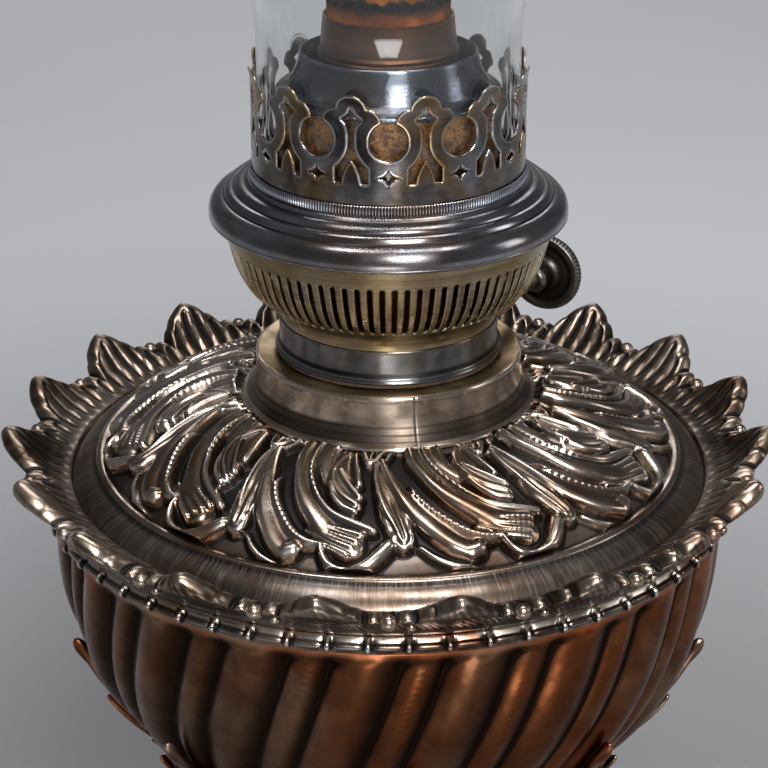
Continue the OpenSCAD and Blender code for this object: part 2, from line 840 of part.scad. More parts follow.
// What is cut away under one arch, with the arch in the middle
module fork_cut(half_w) {
    difference() {
        translate([-fork_w / 2, fork_z]) square([fork_w, key_z - fork_z]);
        for (side = [-1, 1])
            translate([side * half_w, key_z]) circle(r = band_r, $fn = 64);
        polygon([
            [-tab_w / 2, fork_z - past], [-tab_w / 2, fork_z],
            [-tab_w * 0.42, fork_z + tab_h * 0.36], [-tab_w * 0.23, fork_z + tab_h * 0.74],
            [0, fork_z + tab_h],
            [tab_w * 0.23, fork_z + tab_h * 0.74], [tab_w * 0.42, fork_z + tab_h * 0.36],
            [tab_w / 2, fork_z], [tab_w / 2, fork_z - past]
        ]);
    }
    translate([-slit_w / 2, key_z - 0.5]) square([slit_w, 2.6]);
    polygon([
        [0, gallery_h - 2.6], [0.55, gallery_h - 3.9], [1.9, gallery_h - 4.8],
        [0.95, gallery_h - 5.7], [slit_w / 2, gallery_h - 7.4],
        [-slit_w / 2, gallery_h - 7.4], [-0.95, gallery_h - 5.7],
        [-1.9, gallery_h - 4.8], [-0.55, gallery_h - 3.9]
    ]);
}

module gallery() {
    pitch = 360 / gallery_arches;
    half_w = gallery_r * sin(pitch / 2);
    cut_in = 3;
    color("silver")
    difference() {
        ring(gallery_r - gallery_wall, gallery_r, seat_z, gallery_z + gallery_h - seat_z);
        for (i = [0:gallery_arches - 1]) {
            towards(i * pitch)
            translate([gallery_r - cut_in, 0, gallery_z])
            rotate([90, 0, 90]) linear_extrude(height = 2 * cut_in) gallery_cut(half_w + 0.05);
            towards((i + 0.5) * pitch)
            translate([gallery_r - cut_in, 0, gallery_z])
            rotate([90, 0, 90]) linear_extrude(height = 2 * cut_in) fork_cut(half_w);
        }
    }
}

module deflector() {
    r = deflector_r;
    foot_r = deflector_foot_r;
    top = gallery_z + deflector_h;
    wall = 0.5;
    color("cornflowerblue")
    lathe([
        [foot_r - wall, knurl_z - 2], [foot_r, knurl_z - 2], [foot_r, top - 8.8],
        [foot_r + ledge_w, top - 8.5], [foot_r + ledge_w - 0.1, top - 8], [foot_r - 0.6, top - 7.6],
        [r + 2.5, top - 6.7], [r + 1.3, top - 4.8], [r + 0.5, top - 2.6], [r, top - 0.3],
        [r - 0.4, top], [r - wall, top - 0.4], [r + 0.5 - wall, top - 2.8], [r + 1.3 - wall, top - 5],
        [r + 2.4 - wall, top - 7.1], [foot_r - 0.8 - wall, top - 8.2], [foot_r - wall, top - 8.8]
    ]);
}

// Chimney: a straight foot, a bulge round the flame and a long neck
foot_len = 28.6;
bulge_len = 78;
bulge_steps = 20;
// Share of the bulge's length over which it swells, before it falls back to the neck
swell_part = 0.42;

function chimney_line(inset) = concat(
    [[glass_r - inset, chimney_z], [glass_r - inset, chimney_z + foot_len]],
    [for (i = [1:bulge_steps])
        let (
            s = i / bulge_steps,
            swell = s < swell_part ? pow(sin(90 * s / swell_part), 2) : 1,
            fall = s < swell_part ? 0 : (1 - cos(180 * (s - swell_part) / (1 - swell_part))) / 2
        )
        [glass_r + (bulge_r - glass_r) * swell - (bulge_r - chimney_neck_r) * fall - inset,
            chimney_z + foot_len + bulge_len * s]],
    [[chimney_neck_r - inset, chimney_z + chimney_h]]
);
chimney_z = seat_z + rest_gap;

module chimney() {
    color([0.85, 0.93, 0.95, 0.35])
    lathe(concat(chimney_line(0), reversed(chimney_line(glass_wall))));
}

foot();
foot_weight();
tie_washer();
tie_nut();
tie_rod();
stem_spool();
stem_knop();
stem_neck();
calyx();
bowl();
bowl_washer();
bowl_nut();
bowl_rim();
font_tank();
font_cover();
leaf_crown();
font_collar();
burner_gasket();
burner_base();
air_basket();
wick_tube();
draught_tube();
wick();
winder_cradle();
winder_bush();
winder_shaft();
spiked_wheels();
winder_knob();
gallery_dish();
knurled_ring();
gallery();
deflector();
chimney();
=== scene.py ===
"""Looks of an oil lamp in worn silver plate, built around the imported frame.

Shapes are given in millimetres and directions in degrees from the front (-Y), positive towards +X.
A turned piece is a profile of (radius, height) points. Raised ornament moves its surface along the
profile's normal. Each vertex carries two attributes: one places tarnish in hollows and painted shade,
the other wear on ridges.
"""
import json
import math

import bpy
import numpy as np
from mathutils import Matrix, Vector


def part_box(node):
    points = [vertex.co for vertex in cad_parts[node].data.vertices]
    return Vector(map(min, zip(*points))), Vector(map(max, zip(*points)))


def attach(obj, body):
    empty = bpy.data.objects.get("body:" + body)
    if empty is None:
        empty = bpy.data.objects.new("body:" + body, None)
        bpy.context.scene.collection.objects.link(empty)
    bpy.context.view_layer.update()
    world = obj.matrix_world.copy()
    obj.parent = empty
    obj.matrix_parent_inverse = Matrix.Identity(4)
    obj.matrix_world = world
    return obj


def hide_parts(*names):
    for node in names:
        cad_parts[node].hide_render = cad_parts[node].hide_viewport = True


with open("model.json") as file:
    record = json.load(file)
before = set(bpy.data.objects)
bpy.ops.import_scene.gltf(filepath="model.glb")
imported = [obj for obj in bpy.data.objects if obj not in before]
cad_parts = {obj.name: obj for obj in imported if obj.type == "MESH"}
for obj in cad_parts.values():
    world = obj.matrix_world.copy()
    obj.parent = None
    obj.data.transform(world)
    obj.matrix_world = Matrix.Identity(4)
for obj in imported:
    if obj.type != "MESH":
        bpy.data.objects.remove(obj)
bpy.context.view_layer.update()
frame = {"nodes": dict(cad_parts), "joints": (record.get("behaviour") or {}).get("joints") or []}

MM = 0.001
random = np.random.default_rng(7)


def low(node):
    """Lowest height of a CAD node, in mm."""
    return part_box(node)[0].z / MM


def high(node):
    """Highest height of a CAD node, in mm."""
    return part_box(node)[1].z / MM


def reach(node):
    """Largest radius of a round CAD node, in mm."""
    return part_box(node)[1].x / MM


# Heights and radii that the frame gives
SPOOL_Z, KNOP_Z, NECK_Z = low("stem_spool"), low("stem_knop"), low("stem_neck")
HUB_Z, BOWL_Z, RIM_Z = low("calyx"), low("bowl"), high("bowl")
CALYX_TOP = high("calyx")
RIM_TOP = high("bowl_rim")
CROWN_Z, CROWN_TOP = low("leaf_crown"), high("leaf_crown")
COLLAR_TOP = high("font_collar")
BASE_Z, BASKET_Z, BASKET_TOP = low("burner_base"), low("air_basket"), high("air_basket")
KNURL_Z, KNURL_TOP = low("knurled_ring"), high("knurled_ring")
GALLERY_Z, GALLERY_TOP = KNURL_TOP, high("gallery")
TUBE_TOP, WICK_TOP = high("wick_tube"), high("wick")
CHIMNEY_Z, CHIMNEY_TOP = low("chimney"), high("chimney")
FOOT_R, FOOT_H = reach("foot"), high("foot")
BOWL_R = reach("bowl")
CROWN_R = reach("leaf_crown")
COLLAR_FLANGE_R = reach("font_collar")
BASKET_R, DISH_R = reach("air_basket"), reach("gallery_dish")
GALLERY_R, WICK_R = reach("gallery"), reach("wick")
DOME_TOP = high("font_cover")
THREAD_L = 8
BASE_RING_Z = BASE_Z + THREAD_L


# Meshes

def make_mesh(name, points, faces, body, material, replaced=(), slot=None, wear=1.2, dirt=None):
    """Object from points in mm and faces of three or four corners, riding on a body."""
    mesh = bpy.data.meshes.new(name)
    mesh.vertices.add(len(points))
    mesh.vertices.foreach_set("co", (np.asarray(points) * MM).astype(np.float32).ravel())
    sizes = [faces.shape[1]] * len(faces) if isinstance(faces, np.ndarray) else [len(f) for f in faces]
    corners = faces.ravel() if isinstance(faces, np.ndarray) else np.concatenate([np.asarray(f) for f in faces])
    starts = np.concatenate([[0], np.cumsum(sizes)[:-1]]).astype(np.int32)
    mesh.loops.add(len(corners))
    mesh.loops.foreach_set("vertex_index", corners.astype(np.int32))
    mesh.polygons.add(len(sizes))
    mesh.polygons.foreach_set("loop_start", starts)
    mesh.update(calc_edges=True)
    mesh.validate()
    mesh.polygons.foreach_set("use_smooth", np.ones(len(mesh.polygons), bool))
    wear_attributes(mesh, wear, dirt)
    mesh.materials.append(material)
    obj = bpy.data.objects.new(name, mesh)
    bpy.context.scene.collection.objects.link(obj)
    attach(obj, body)
    if replaced:
        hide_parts(*replaced)
    return obj


def wear_attributes(mesh, size, dirt=None):
    """Writes how hollow the surface is, with tarnish and painted shade passed in added, and how far it stands out, from
    0 to 1.
    """
    n = len(mesh.vertices)
    co = np.zeros(n * 3, np.float32)
    mesh.vertices.foreach_get("co", co)
    co = co.reshape(-1, 3).astype(float) / MM
    edges = np.zeros(len(mesh.edges) * 2, np.int32)
    mesh.edges.foreach_get("vertices", edges)
    a, b = edges.reshape(-1, 2).T
    degree = np.maximum(np.bincount(a, minlength=n) + np.bincount(b, minlength=n), 1)
    normal = np.zeros(n * 3, np.float32)
    mesh.vertex_normals.foreach_get("vector", normal)
    normal = normal.reshape(-1, 3)
    length = np.linalg.norm(co[a] - co[b], axis=1)
    step = max(np.median(length), 0.05)
    turns = int(np.clip((size / step) ** 2, 4, 40))
    smooth = co.copy()
    for _ in range(turns):
        mean = np.stack([
            np.bincount(a, smooth[b, k], n) + np.bincount(b, smooth[a, k], n) for k in range(3)
        ], 1) / degree[:, None]
        smooth += 0.6 * (mean - smooth)
    depth = ((smooth - co) * normal).sum(1) / size
    cavity_and_shade, ridge = np.clip(depth * 5, 0, 1), np.clip(-depth * 5, 0, 1)
    # Tarnish and painted shade passed in darken the surface and keep wear off it.
    if dirt is not None:
        cavity_and_shade = np.maximum(cavity_and_shade, dirt.ravel())
        ridge = ridge * (1 - dirt.ravel())
    for label, values in (("cavity_and_shade", cavity_and_shade), ("ridge", ridge)):
        layer = mesh.attributes.new(label, "FLOAT", "POINT")
        layer.data.foreach_set("value", values.astype(np.float32))


def grid(rows, columns, closed=True, turn=False):
    """Faces of a sheet of rows and columns of points; closed joins the last column to the first."""
    r = np.arange(rows - 1)[:, None]
    c = np.arange(columns if closed else columns - 1)[None, :]
    d = (c + 1) % columns
    quads = np.stack([r * columns + c, r * columns + d, (r + 1) * columns + d, (r + 1) * columns + c], -1)
    quads = quads.reshape(-1, 4)
    return quads[:, ::-1] if turn else quads


def rounded(points, radius=0.3, steps=3):
    """The same line with each corner replaced by a short curve."""
    points = np.asarray(points, float)
    out = [points[0]]
    for before, p, after in zip(points[:-2], points[1:-1], points[2:]):
        a, b = before - p, after - p
        la, lb = np.linalg.norm(a), np.linalg.norm(b)
        if la < 1e-6 or lb < 1e-6:
            continue
        p0 = p + a * min(radius, la * 0.45) / la
        p1 = p + b * min(radius, lb * 0.45) / lb
        for i in range(steps + 1):
            t = i / steps
            out.append(p0 * (1 - t) ** 2 + 2 * p * t * (1 - t) + p1 * t ** 2)
    out.append(points[-1])
    return np.array(out)


def spaced(points, spacing):
    """The same line with long stretches cut into shorter ones."""
    out = [points[0]]
    for p, q in zip(points[:-1], points[1:]):
        n = max(1, int(round(np.linalg.norm(q - p) / spacing)))
        out += [p + (q - p) * (i + 1) / n for i in range(n)]
    return np.array(out)


def curve_through(points, count):
    """Smooth line of count points through a few given ones."""
    points = np.asarray(points, float)
    ends = np.vstack([2 * points[0] - points[1], points, 2 * points[-1] - points[-2]])
    t = np.linspace(0, len(points) - 1 - 1e-9, count)
    i = t.astype(int)
    f = (t - i)[:, None]
    p0, p1, p2, p3 = ends[i], ends[i + 1], ends[i + 2], ends[i + 3]
    return 0.5 * (2 * p1 + (p2 - p0) * f + (2 * p0 - 5 * p1 + 4 * p2 - p3) * f ** 2
                  + (3 * p1 - p0 - 3 * p2 + p3) * f ** 3)


def line_normals(line):
    """Unit normals to the left of a line of (radius, height) points."""
    d = np.gradient(line, axis=0)
    d /= np.maximum(np.linalg.norm(d, axis=1, keepdims=True), 1e-9)
    return np.stack([d[:, 1], -d[:, 0]], 1)


def round_points(radius, height, azimuth):
    """Points at a radius and a height, in directions counted from the front."""
    a = np.radians(azimuth)
    return np.stack([radius * np.sin(a), -radius * np.cos(a), height + 0 * a], -1)


def turned(name, line, body, material, columns=256, relief=None, cap=False, **more):
    """Turned piece from a line of (radius, height) that runs round its outline, anticlockwise.

    relief(azimuth, row, line) gives how far each point moves along the profile's normal.
    cap closes the last point of the line on the first, for a ring or a sleeve.
    """
    line = np.asarray(line, float)
    azimuth = np.arange(columns) * 360 / columns
    radius = np.repeat(line[:, :1], columns, 1)
    height = np.repeat(line[:, 1:], columns, 1)
    if relief is not None:
        push = relief(azimuth[None, :], np.arange(len(line))[:, None], line)
        normal = line_normals(line)
        radius = radius + push * normal[:, :1]
        height = height + push * normal[:, 1:]
    points = round_points(radius, height, azimuth[None, :]).reshape(-1, 3)
    quads = grid(len(line), columns)
    if cap:
        last = (len(line) - 1) * columns
        c = np.arange(columns)
        d = (c + 1) % columns
        quads = np.vstack([quads, np.stack([last + c, last + d, d, c], 1)])
    return make_mesh(name, points, quads, body, material, **more)


# Materials

def srgb(r, g, b):
    """Linear colour from one written the way a picture shows it, 0 to 255."""
    def linear(v):
        v /= 255
        return v / 12.92 if v <= 0.04045 else ((v + 0.055) / 1.055) ** 2.4
    return (linear(r), linear(g), linear(b), 1)


class Nodes:
    """Short calls for building a material's node tree."""

    def __init__(self, name):
        self.material = bpy.data.materials.new(name)
        self.material.use_nodes = True
        self.tree = self.material.node_tree
        self.tree.nodes.clear()
        self.out = self.add("ShaderNodeOutputMaterial")

    def add(self, kind, **values):
        node = self.tree.nodes.new(kind)
        for key, value in values.items():
            setattr(node, key, value)
        return node

    def link(self, source, target):
        self.tree.links.new(source, target)

    def put(self, socket, value):
        if isinstance(value, bpy.types.NodeSocket):
            self.link(value, socket)
        else:
            socket.default_value = value

    def place(self):
        return self.add("ShaderNodeTexCoord").outputs["Object"]

    def stretched(self, scale):
        """Object coordinates, scaled on each axis."""
        node = self.add("ShaderNodeMapping")
        self.link(self.place(), node.inputs["Vector"])
        node.inputs["Scale"].default_value = scale
        return node.outputs["Vector"]

    def noise(self, scale, detail=4, rough=0.55, vector=None, distortion=0):
        node = self.add("ShaderNodeTexNoise")
        self.link(vector or self.place(), node.inputs["Vector"])
        node.inputs["Scale"].default_value = scale
        node.inputs["Detail"].default_value = detail
        node.inputs["Roughness"].default_value = rough
        node.inputs["Distortion"].default_value = distortion
        return node.outputs["Fac"]

    def polar(self):
        """Angle round the lamp, distance from its axis and height."""
        parts = self.add("ShaderNodeSeparateXYZ")
        self.link(self.place(), parts.inputs["Vector"])
        angle = self.add("ShaderNodeMath", operation="ARCTAN2")
        self.link(parts.outputs["Y"], angle.inputs[0])
        self.link(parts.outputs["X"], angle.inputs[1])
        flat = self.add("ShaderNodeVectorMath", operation="LENGTH")
        self.link(self.stretched((1, 1, 0)), flat.inputs[0])
        return angle.outputs[0], flat.outputs["Value"], parts.outputs["Z"]

    def scaled_sum(self, first, a, second=None, b=0.0):
        """first * a + second * b, without limits."""
        node = self.add("ShaderNodeMath", operation="MULTIPLY")
        self.link(first, node.inputs[0])
        node.inputs[1].default_value = a
        if second is None:
            return node.outputs[0]
        total = self.add("ShaderNodeMath", operation="MULTIPLY_ADD")
        self.link(second, total.inputs[0])
        total.inputs[1].default_value = b
        self.link(node.outputs[0], total.inputs[2])
        return total.outputs[0]

    def combined(self, x, y, z):
        node = self.add("ShaderNodeCombineXYZ")
        for socket, value in zip(node.inputs, (x, y, z)):
            self.put(socket, value)
        return node.outputs["Vector"]

    def attribute(self, name):
        return self.add("ShaderNodeAttribute", attribute_name=name).outputs["Fac"]

    def ramp(self, value, low_end, high_end, to_low=0.0, to_high=1.0):
        """Carries a value from one range to another, with soft ends."""
        node = self.add("ShaderNodeMapRange", interpolation_type="SMOOTHSTEP")
        self.link(value, node.inputs["Value"])
        node.inputs["From Min"].default_value = low_end
        node.inputs["From Max"].default_value = high_end
        node.inputs["To Min"].default_value = to_low
        node.inputs["To Max"].default_value = to_high
        return node.outputs["Result"]

    def math(self, operation, a, b=0.0):
        node = self.add("ShaderNodeMath", operation=operation, use_clamp=operation != "SUBTRACT")
        self.put(node.inputs[0], a)
        self.put(node.inputs[1], b)
        return node.outputs[0]

    def mix(self, factor, a, b):
        node = self.add("ShaderNodeMix", data_type="RGBA")
        self.put(node.inputs["Factor"], factor)
        self.put(node.inputs["A"], a)
        self.put(node.inputs["B"], b)
        return node.outputs["Result"]

    def bump(self, height, strength, distance, normal=None):
        node = self.add("ShaderNodeBump")
        node.inputs["Strength"].default_value = strength
        node.inputs["Distance"].default_value = distance
        self.link(height, node.inputs["Height"])
        if normal is not None:
            self.link(normal, node.inputs["Normal"])
        return node.outputs["Normal"]

    def shader(self, **values):
        node = self.add("ShaderNodeBsdfPrincipled")
        for key, value in values.items():
            self.put(node.inputs[key.replace("_", " ")], value)
        self.link(node.outputs["BSDF"], self.out.inputs["Surface"])
        return node


def worn_metal(name, plate, worn, film, dark, worn_share=0.5, film_share=0.8, dark_share=0.9, rough=0.26,
               rings=0.0, brushed=0.0, streaks_from=None, grain=0.15, dents=0.25, patch=38, bright=(0.1, 0.5),
               hollow=(0.06, 0.36)):
    """Old plated metal: plate, the metal under it where it has worn, a film of tarnish and dark hollows,
    which also take any painted shade a piece carries.

    film_share is how much the film covers where nothing rubs it off; bright gives the range of ridge
    over which it is rubbed off, and hollow the range of hollowness and painted shade over which it
    turns dark. rings is the strength of fine turning lines, brushed how far they stretch the gloss, and
    streaks_from the radius in mm past which lines run outwards.
    """
    n = Nodes(name)
    cavity_and_shade, ridge = n.attribute("cavity_and_shade"), n.attribute("ridge")
    patches = n.noise(patch, 5, 0.6, distortion=0.4)
    fine = n.noise(420, 4, 0.6)
    blotch = n.noise(130, 4, 0.6)
    worn_mask = n.ramp(patches, 0.6 - worn_share * 0.4, 0.86 - worn_share * 0.4)
    metal = n.mix(worn_mask, plate, worn)
    cloud = n.noise(24, 4, 0.6, vector=n.stretched((1, 1, 1.6)))
    covered = n.math("MULTIPLY", n.ramp(blotch, 0.3, 0.62, 0.7, 1.0), n.ramp(cloud, 0.36, 0.56, film_share * 0.6,
                                                                         film_share))
    rubbed = n.ramp(n.math("ADD", ridge, n.math("MULTIPLY", fine, 0.06)), *bright)
    base = n.mix(n.math("MULTIPLY", covered, n.math("SUBTRACT", 1.0, rubbed)), metal, film)
    # Dark in hollows: tarnish, and painted shade where a piece laid it in.
    hollow_and_shade = n.ramp(n.math("ADD", cavity_and_shade, n.math("MULTIPLY", fine, 0.08)), *hollow)
    base = n.mix(n.math("MULTIPLY", hollow_and_shade, dark_share), base, dark)
    roughness = n.ramp(blotch, 0.3, 0.75, rough * 0.75, rough * 1.35)
    roughness = n.math("ADD", roughness, n.math("MULTIPLY", hollow_and_shade, 0.25))
    normal = n.bump(fine, grain, 0.00012)
    normal = n.bump(n.noise(160, 3, 0.5), dents, 0.0005, normal)
    if rings or streaks_from:
        angle, radius, height = n.polar()
    if rings:
        across = n.scaled_sum(height, 1700, radius, -1350)
        lines = n.noise(1.0, 3, 0.7, vector=n.combined(n.scaled_sum(angle, 0.6), 0.0, across))
        normal = n.bump(lines, rings, 0.00012, normal)
        base = n.mix(n.ramp(lines, 0.35, 0.7, 0.0, 0.45 * min(1.0, rings * 3)), base, dark)
    if streaks_from:
        lines = n.noise(1.0, 3, 0.6, vector=n.combined(n.scaled_sum(angle, 110), n.scaled_sum(radius, 130), 0.0))
        out_there = n.ramp(radius, streaks_from * MM, (streaks_from + 0.3) * MM)
        normal = n.bump(n.math("MULTIPLY", lines, out_there), 0.14, 0.0003, normal)
        lit = n.math("MULTIPLY", n.ramp(lines, 0.45, 0.62), out_there)
        base = n.mix(n.math("MULTIPLY", lit, 0.1), base, plate)
    values = {"Base_Color": base, "Metallic": 1.0, "Roughness": roughness, "Normal": normal}
    if brushed:
        values["Anisotropic"] = brushed
        values["Anisotropic_Rotation"] = 0.25
        values["Tangent"] = n.add("ShaderNodeTangent", direction_type="RADIAL", axis="Z").outputs["Tangent"]
    n.shader(**values)
    return n.material


SILVER = srgb(208, 198, 188)
WARM_SILVER = srgb(192, 174, 158)
COPPER = srgb(172, 112, 78)
RED_COPPER = srgb(148, 80, 44)
BRASS = srgb(186, 156, 108)
OLD_BRASS = srgb(146, 122, 82)
BROWN_FILM = srgb(82, 64, 50)
GREY_FILM = srgb(92, 86, 82)
TARNISH = srgb(34, 27, 22)
BLACK_TARNISH = srgb(24, 24, 26)
BROWN_TARNISH = srgb(58, 45, 36)
RIM_EDGE_R = 60

# The font's dark colour is tarnish on the embossed ground and painted shade down the skirt.
font_silver = worn_metal("font_silver", SILVER, srgb(166, 122, 84), srgb(86, 60, 38), BLACK_TARNISH, 0.34,
                         0.92, 0.95, 0.25,                         streaks_from=RIM_EDGE_R + 0.6, bright=(0.35, 1.1), hollow=(0.22, 0.95), dents=0.12)
crown_silver = worn_metal("crown_silver", WARM_SILVER, COPPER, srgb(53, 39, 26), BLACK_TARNISH, 0.2, 0.98, 0.95,
                          0.32, bright=(0.5, 1.4), dents=0.12)
# The bowl's dark colour is tarnish in its hollows and painted shade down one side of each lobe.
bowl_copper = worn_metal("bowl_copper", srgb(150, 120, 94), RED_COPPER, srgb(70, 40, 22), srgb(22, 15, 11), 0.66,
                         0.88, 0.95, 0.31, patch=26, bright=(0.2, 0.9), hollow=(0.02, 0.55))
rim_silver = worn_metal("rim_silver", SILVER, COPPER, srgb(62, 42, 29), BLACK_TARNISH, 0.4, 0.97, 0.95, 0.28,
                        bright=(0.45, 1.2))
collar_silver = worn_metal("collar_silver", srgb(220, 206, 192), srgb(178, 140, 96), srgb(102, 76, 50), TARNISH,
                           0.4, 0.6, 0.8, 0.26, rings=0.15, brushed=0.85, dents=0.03, grain=0.02)
burner_brass = worn_metal("burner_brass", srgb(190, 176, 150), srgb(160, 136, 90), srgb(124, 106, 76), TARNISH,
                          0.6, 0.6, 0.8, 0.3, rings=0.3, brushed=0.6, dents=0.05, grain=0.06)
base_nickel = worn_metal("base_nickel", srgb(150, 154, 162), srgb(168, 140, 92), srgb(80, 73, 62), TARNISH,
                         0.45, 0.75, 0.8, 0.25, rings=0.15, brushed=0.85, dents=0.01, grain=0.02)
dish_nickel = worn_metal("dish_nickel", srgb(180, 184, 194), srgb(170, 150, 134), srgb(74, 72, 76), BROWN_TARNISH,
                         0.45, 0.82, 0.95, 0.22, rings=0.25, brushed=0.6, dents=0.01, grain=0.02)
gallery_nickel = worn_metal("gallery_nickel", srgb(164, 164, 168), srgb(166, 136, 96), srgb(40, 36, 32),
                            BROWN_TARNISH, 0.5, 0.97, 0.8, 0.22, rings=0.15, brushed=0.6, dents=0.05, grain=0.06,
                            patch=90, bright=(0.12, 0.45))
deflector_nickel = worn_metal("deflector_nickel", srgb(150, 160, 178), srgb(158, 126, 98), srgb(66, 61, 58),
                              BROWN_TARNISH, 0.45, 0.88, 0.8, 0.27, rings=0.2, brushed=0.85, dents=0.01,
                              grain=0.02)
tube_nickel = worn_metal("tube_nickel", srgb(160, 118, 78), COPPER, srgb(66, 40, 25), BROWN_TARNISH, 0.6, 0.9,
                         0.8, 0.4, rings=0.3)
knob_nickel = worn_metal("knob_nickel", srgb(112, 110, 106), srgb(126, 110, 84), srgb(44, 41, 37), TARNISH, 0.4, 0.9,
                         0.9, 0.34)
stand_copper = worn_metal("stand_copper", srgb(156, 134, 118), RED_COPPER, srgb(70, 48, 36), srgb(24, 19, 17), 0.55,
                          0.88, 0.95, 0.31, patch=26, bright=(0.2, 0.9), hollow=(0.08, 0.6))


def plain_metal(name, colour, dark, rough=0.35, grain=0.2):
    """Metal that was never plated, with stains."""
    n = Nodes(name)
    spots = n.ramp(n.noise(90, 5, 0.6), 0.42, 0.7)
    fine = n.noise(500, 3, 0.6)
    normal = n.bump(fine, grain, 0.0002)
    n.shader(Base_Color=n.mix(spots, colour, dark), Metallic=1.0,
             Roughness=n.ramp(spots, 0, 1, rough * 0.8, rough * 1.5), Normal=normal)
    return n.material


def cotton(name, clean, oily, burnt_from, burnt_to):
    """Woven wick, soaked with oil and burnt at its top end between two heights."""
    n = Nodes(name)
    height = n.add("ShaderNodeSeparateXYZ")
    n.link(n.place(), height.inputs["Vector"])
    weave = n.noise(900, 3, 0.7, vector=n.stretched((1, 1, 0.35)))
    burnt = n.ramp(n.math("ADD", height.outputs["Z"], n.math("MULTIPLY", n.noise(260), 0.0016)),
                   burnt_from * MM, burnt_to * MM)
    cloth = n.mix(n.ramp(n.noise(140, 4), 0.35, 0.65), clean, oily)
    base = n.mix(burnt, cloth, srgb(26, 20, 17))
    n.shader(Base_Color=base, Roughness=0.85, Normal=n.bump(weave, 0.5, 0.0004))
    return n.material


def clear_glass(name):
    """Old blown glass: faint waves and a few smudges."""
    n = Nodes(name)
    waves = n.noise(14, 2, 0.4, vector=n.stretched((1, 1, 0.3)))
    smudge = n.ramp(n.noise(35, 4, 0.6), 0.55, 0.8, 0.0, 0.06)
    n.shader(Base_Color=(0.97, 0.985, 0.98, 1), Roughness=smudge, Transmission_Weight=1.0, IOR=1.47,
             Normal=n.bump(waves, 0.05, 0.002))
    return n.material


def lacquer(name):
    """Old orange-brown lacquer with fine dark cracks."""
    n = Nodes(name)
    cells = n.add("ShaderNodeTexVoronoi", feature="DISTANCE_TO_EDGE")
    n.link(n.stretched((1, 1, 1.6)), cells.inputs["Vector"])
    cells.inputs["Scale"].default_value = 1100
    cracks = n.ramp(cells.outputs["Distance"], 0.0, 0.1)
    base = n.mix(n.ramp(n.noise(420, 5, 0.7), 0.4, 0.6), srgb(204, 142, 62), srgb(112, 62, 24))
    base = n.mix(cracks, srgb(92, 54, 26), base)
    n.shader(Base_Color=base, Metallic=0.45, Roughness=0.42, Normal=n.bump(cracks, 0.4, 0.0002))
    return n.material


def cork(name):
    n = Nodes(name)
    grain = n.noise(300, 6, 0.7)
    # Old cork, dark enough to stand in as painted shade in the gap under the burner.
    n.shader(Base_Color=n.mix(n.ramp(grain, 0.4, 0.65), srgb(74, 54, 38), srgb(42, 31, 24)),
             Roughness=0.8, Normal=n.bump(grain, 0.5, 0.0004))
    return n.material


bare_brass = plain_metal("brass", BRASS, OLD_BRASS)
bare_steel = plain_metal("steel", srgb(150, 148, 146), srgb(92, 82, 74))
rough_iron = plain_metal("iron", srgb(92, 88, 86), srgb(54, 44, 38), 0.6, 0.6)
gasket_cork_and_shade = cork("cork")
lip_brass = worn_metal("lip_brass", srgb(190, 170, 136), srgb(160, 132, 88), srgb(124, 100, 66), TARNISH, 0.5, 0.75,
                       0.7, 0.42, dents=0.1)
old_lacquer = lacquer("lacquer")
lamp_glass = clear_glass("glass")
wick_cotton = cotton("cotton", srgb(184, 104, 30), srgb(116, 54, 14), WICK_TOP - 4.2, WICK_TOP - 1.0)


# Ornament

def smooth(value, a, b):
    """0 below a, 1 above b, and a soft step between them."""
    t = np.clip((value - a) / (b - a), 0, 1)
    return t * t * (3 - 2 * t)


def folded(azimuth, centre, pitch):
    """Distance in degrees from the nearest of the evenly spaced centres, with its sign."""
    return (azimuth - centre + pitch / 2) % pitch - pitch / 2


LOBE_PITCH = 18
LOBE_CENTRE = 15.4
WIDE_HALF, NARROW_HALF = 5.3, 3.2


def lobes(azimuth):
    """Wide and narrow lobes by turns, from 0 in the grooves to 1 on the wide lobes."""
    x = np.abs(folded(azimuth, LOBE_CENTRE, LOBE_PITCH))
    wide = np.clip(1 - (x / WIDE_HALF) ** 2, 0, 1)
    narrow = np.clip(1 - ((LOBE_PITCH / 2 - x) / NARROW_HALF) ** 2, 0, 1)
    return np.maximum(wide, 0.66 * narrow), narrow


def beads(azimuth, count, share=0.8):
    """A row of round beads, from 0 between them to 1 on top."""
    x = folded(azimuth, 0, 360 / count) / (180 / count)
    return np.sqrt(np.clip(1 - (x / share) ** 2, 0, 1))


def bead_and_reel(azimuth, count):
    """Long beads with a thin reel in each gap."""
    u = np.abs(folded(azimuth, 0, 360 / count)) / (180 / count)
    bead = np.clip(1 - (u / 0.7) ** 4, 0, 1) ** 0.5
    reel = np.clip(1 - ((1 - u) / 0.17) ** 2, 0, 1) ** 0.5
    return np.maximum(0.5 * bead, 1.15 * reel)


# Bowl

BOWL_CUT, BOWL_BELLY, BOWL_ROUND = 0.87, 2.93, 1.25
BOWL_H = RIM_Z - BOWL_Z
BOWL_FLOOR, BORE_R = 3, 3.05


def bowl_out(z):
    """Radius of the bowl at a height."""
    s = (RIM_Z - np.asarray(z, float)) / BOWL_H
    return BOWL_R * (1 - (BOWL_CUT * s) ** BOWL_BELLY) ** BOWL_ROUND


def bowl_lobes(azimuth, row, line):
    """Fluting of the bowl, which leans as it goes down; only the outside has it."""
    z = line[row[:, 0], 1][:, None]
    outside = (row < BOWL_ROWS)
    depth = np.clip(RIM_Z - z, 0, None)
    lean = 5.5 * (depth / 22) ** 1.1
    high_lobe, narrow = lobes(azimuth + lean)
    size = smooth(depth, 0.9, 3.2 + 1.2 * (1 - high_lobe)) * np.clip(bowl_out(z) / 48, 0.25, 1)
    veins = 0.07 * narrow * np.abs(np.sin(z * 2.2 + np.abs(folded(azimuth + lean, LOBE_CENTRE + 9, 18)) * 1.1))
    return outside * (size * (-1.9 + 2.4 * high_lobe - veins) + (1 - size) * 0.1)


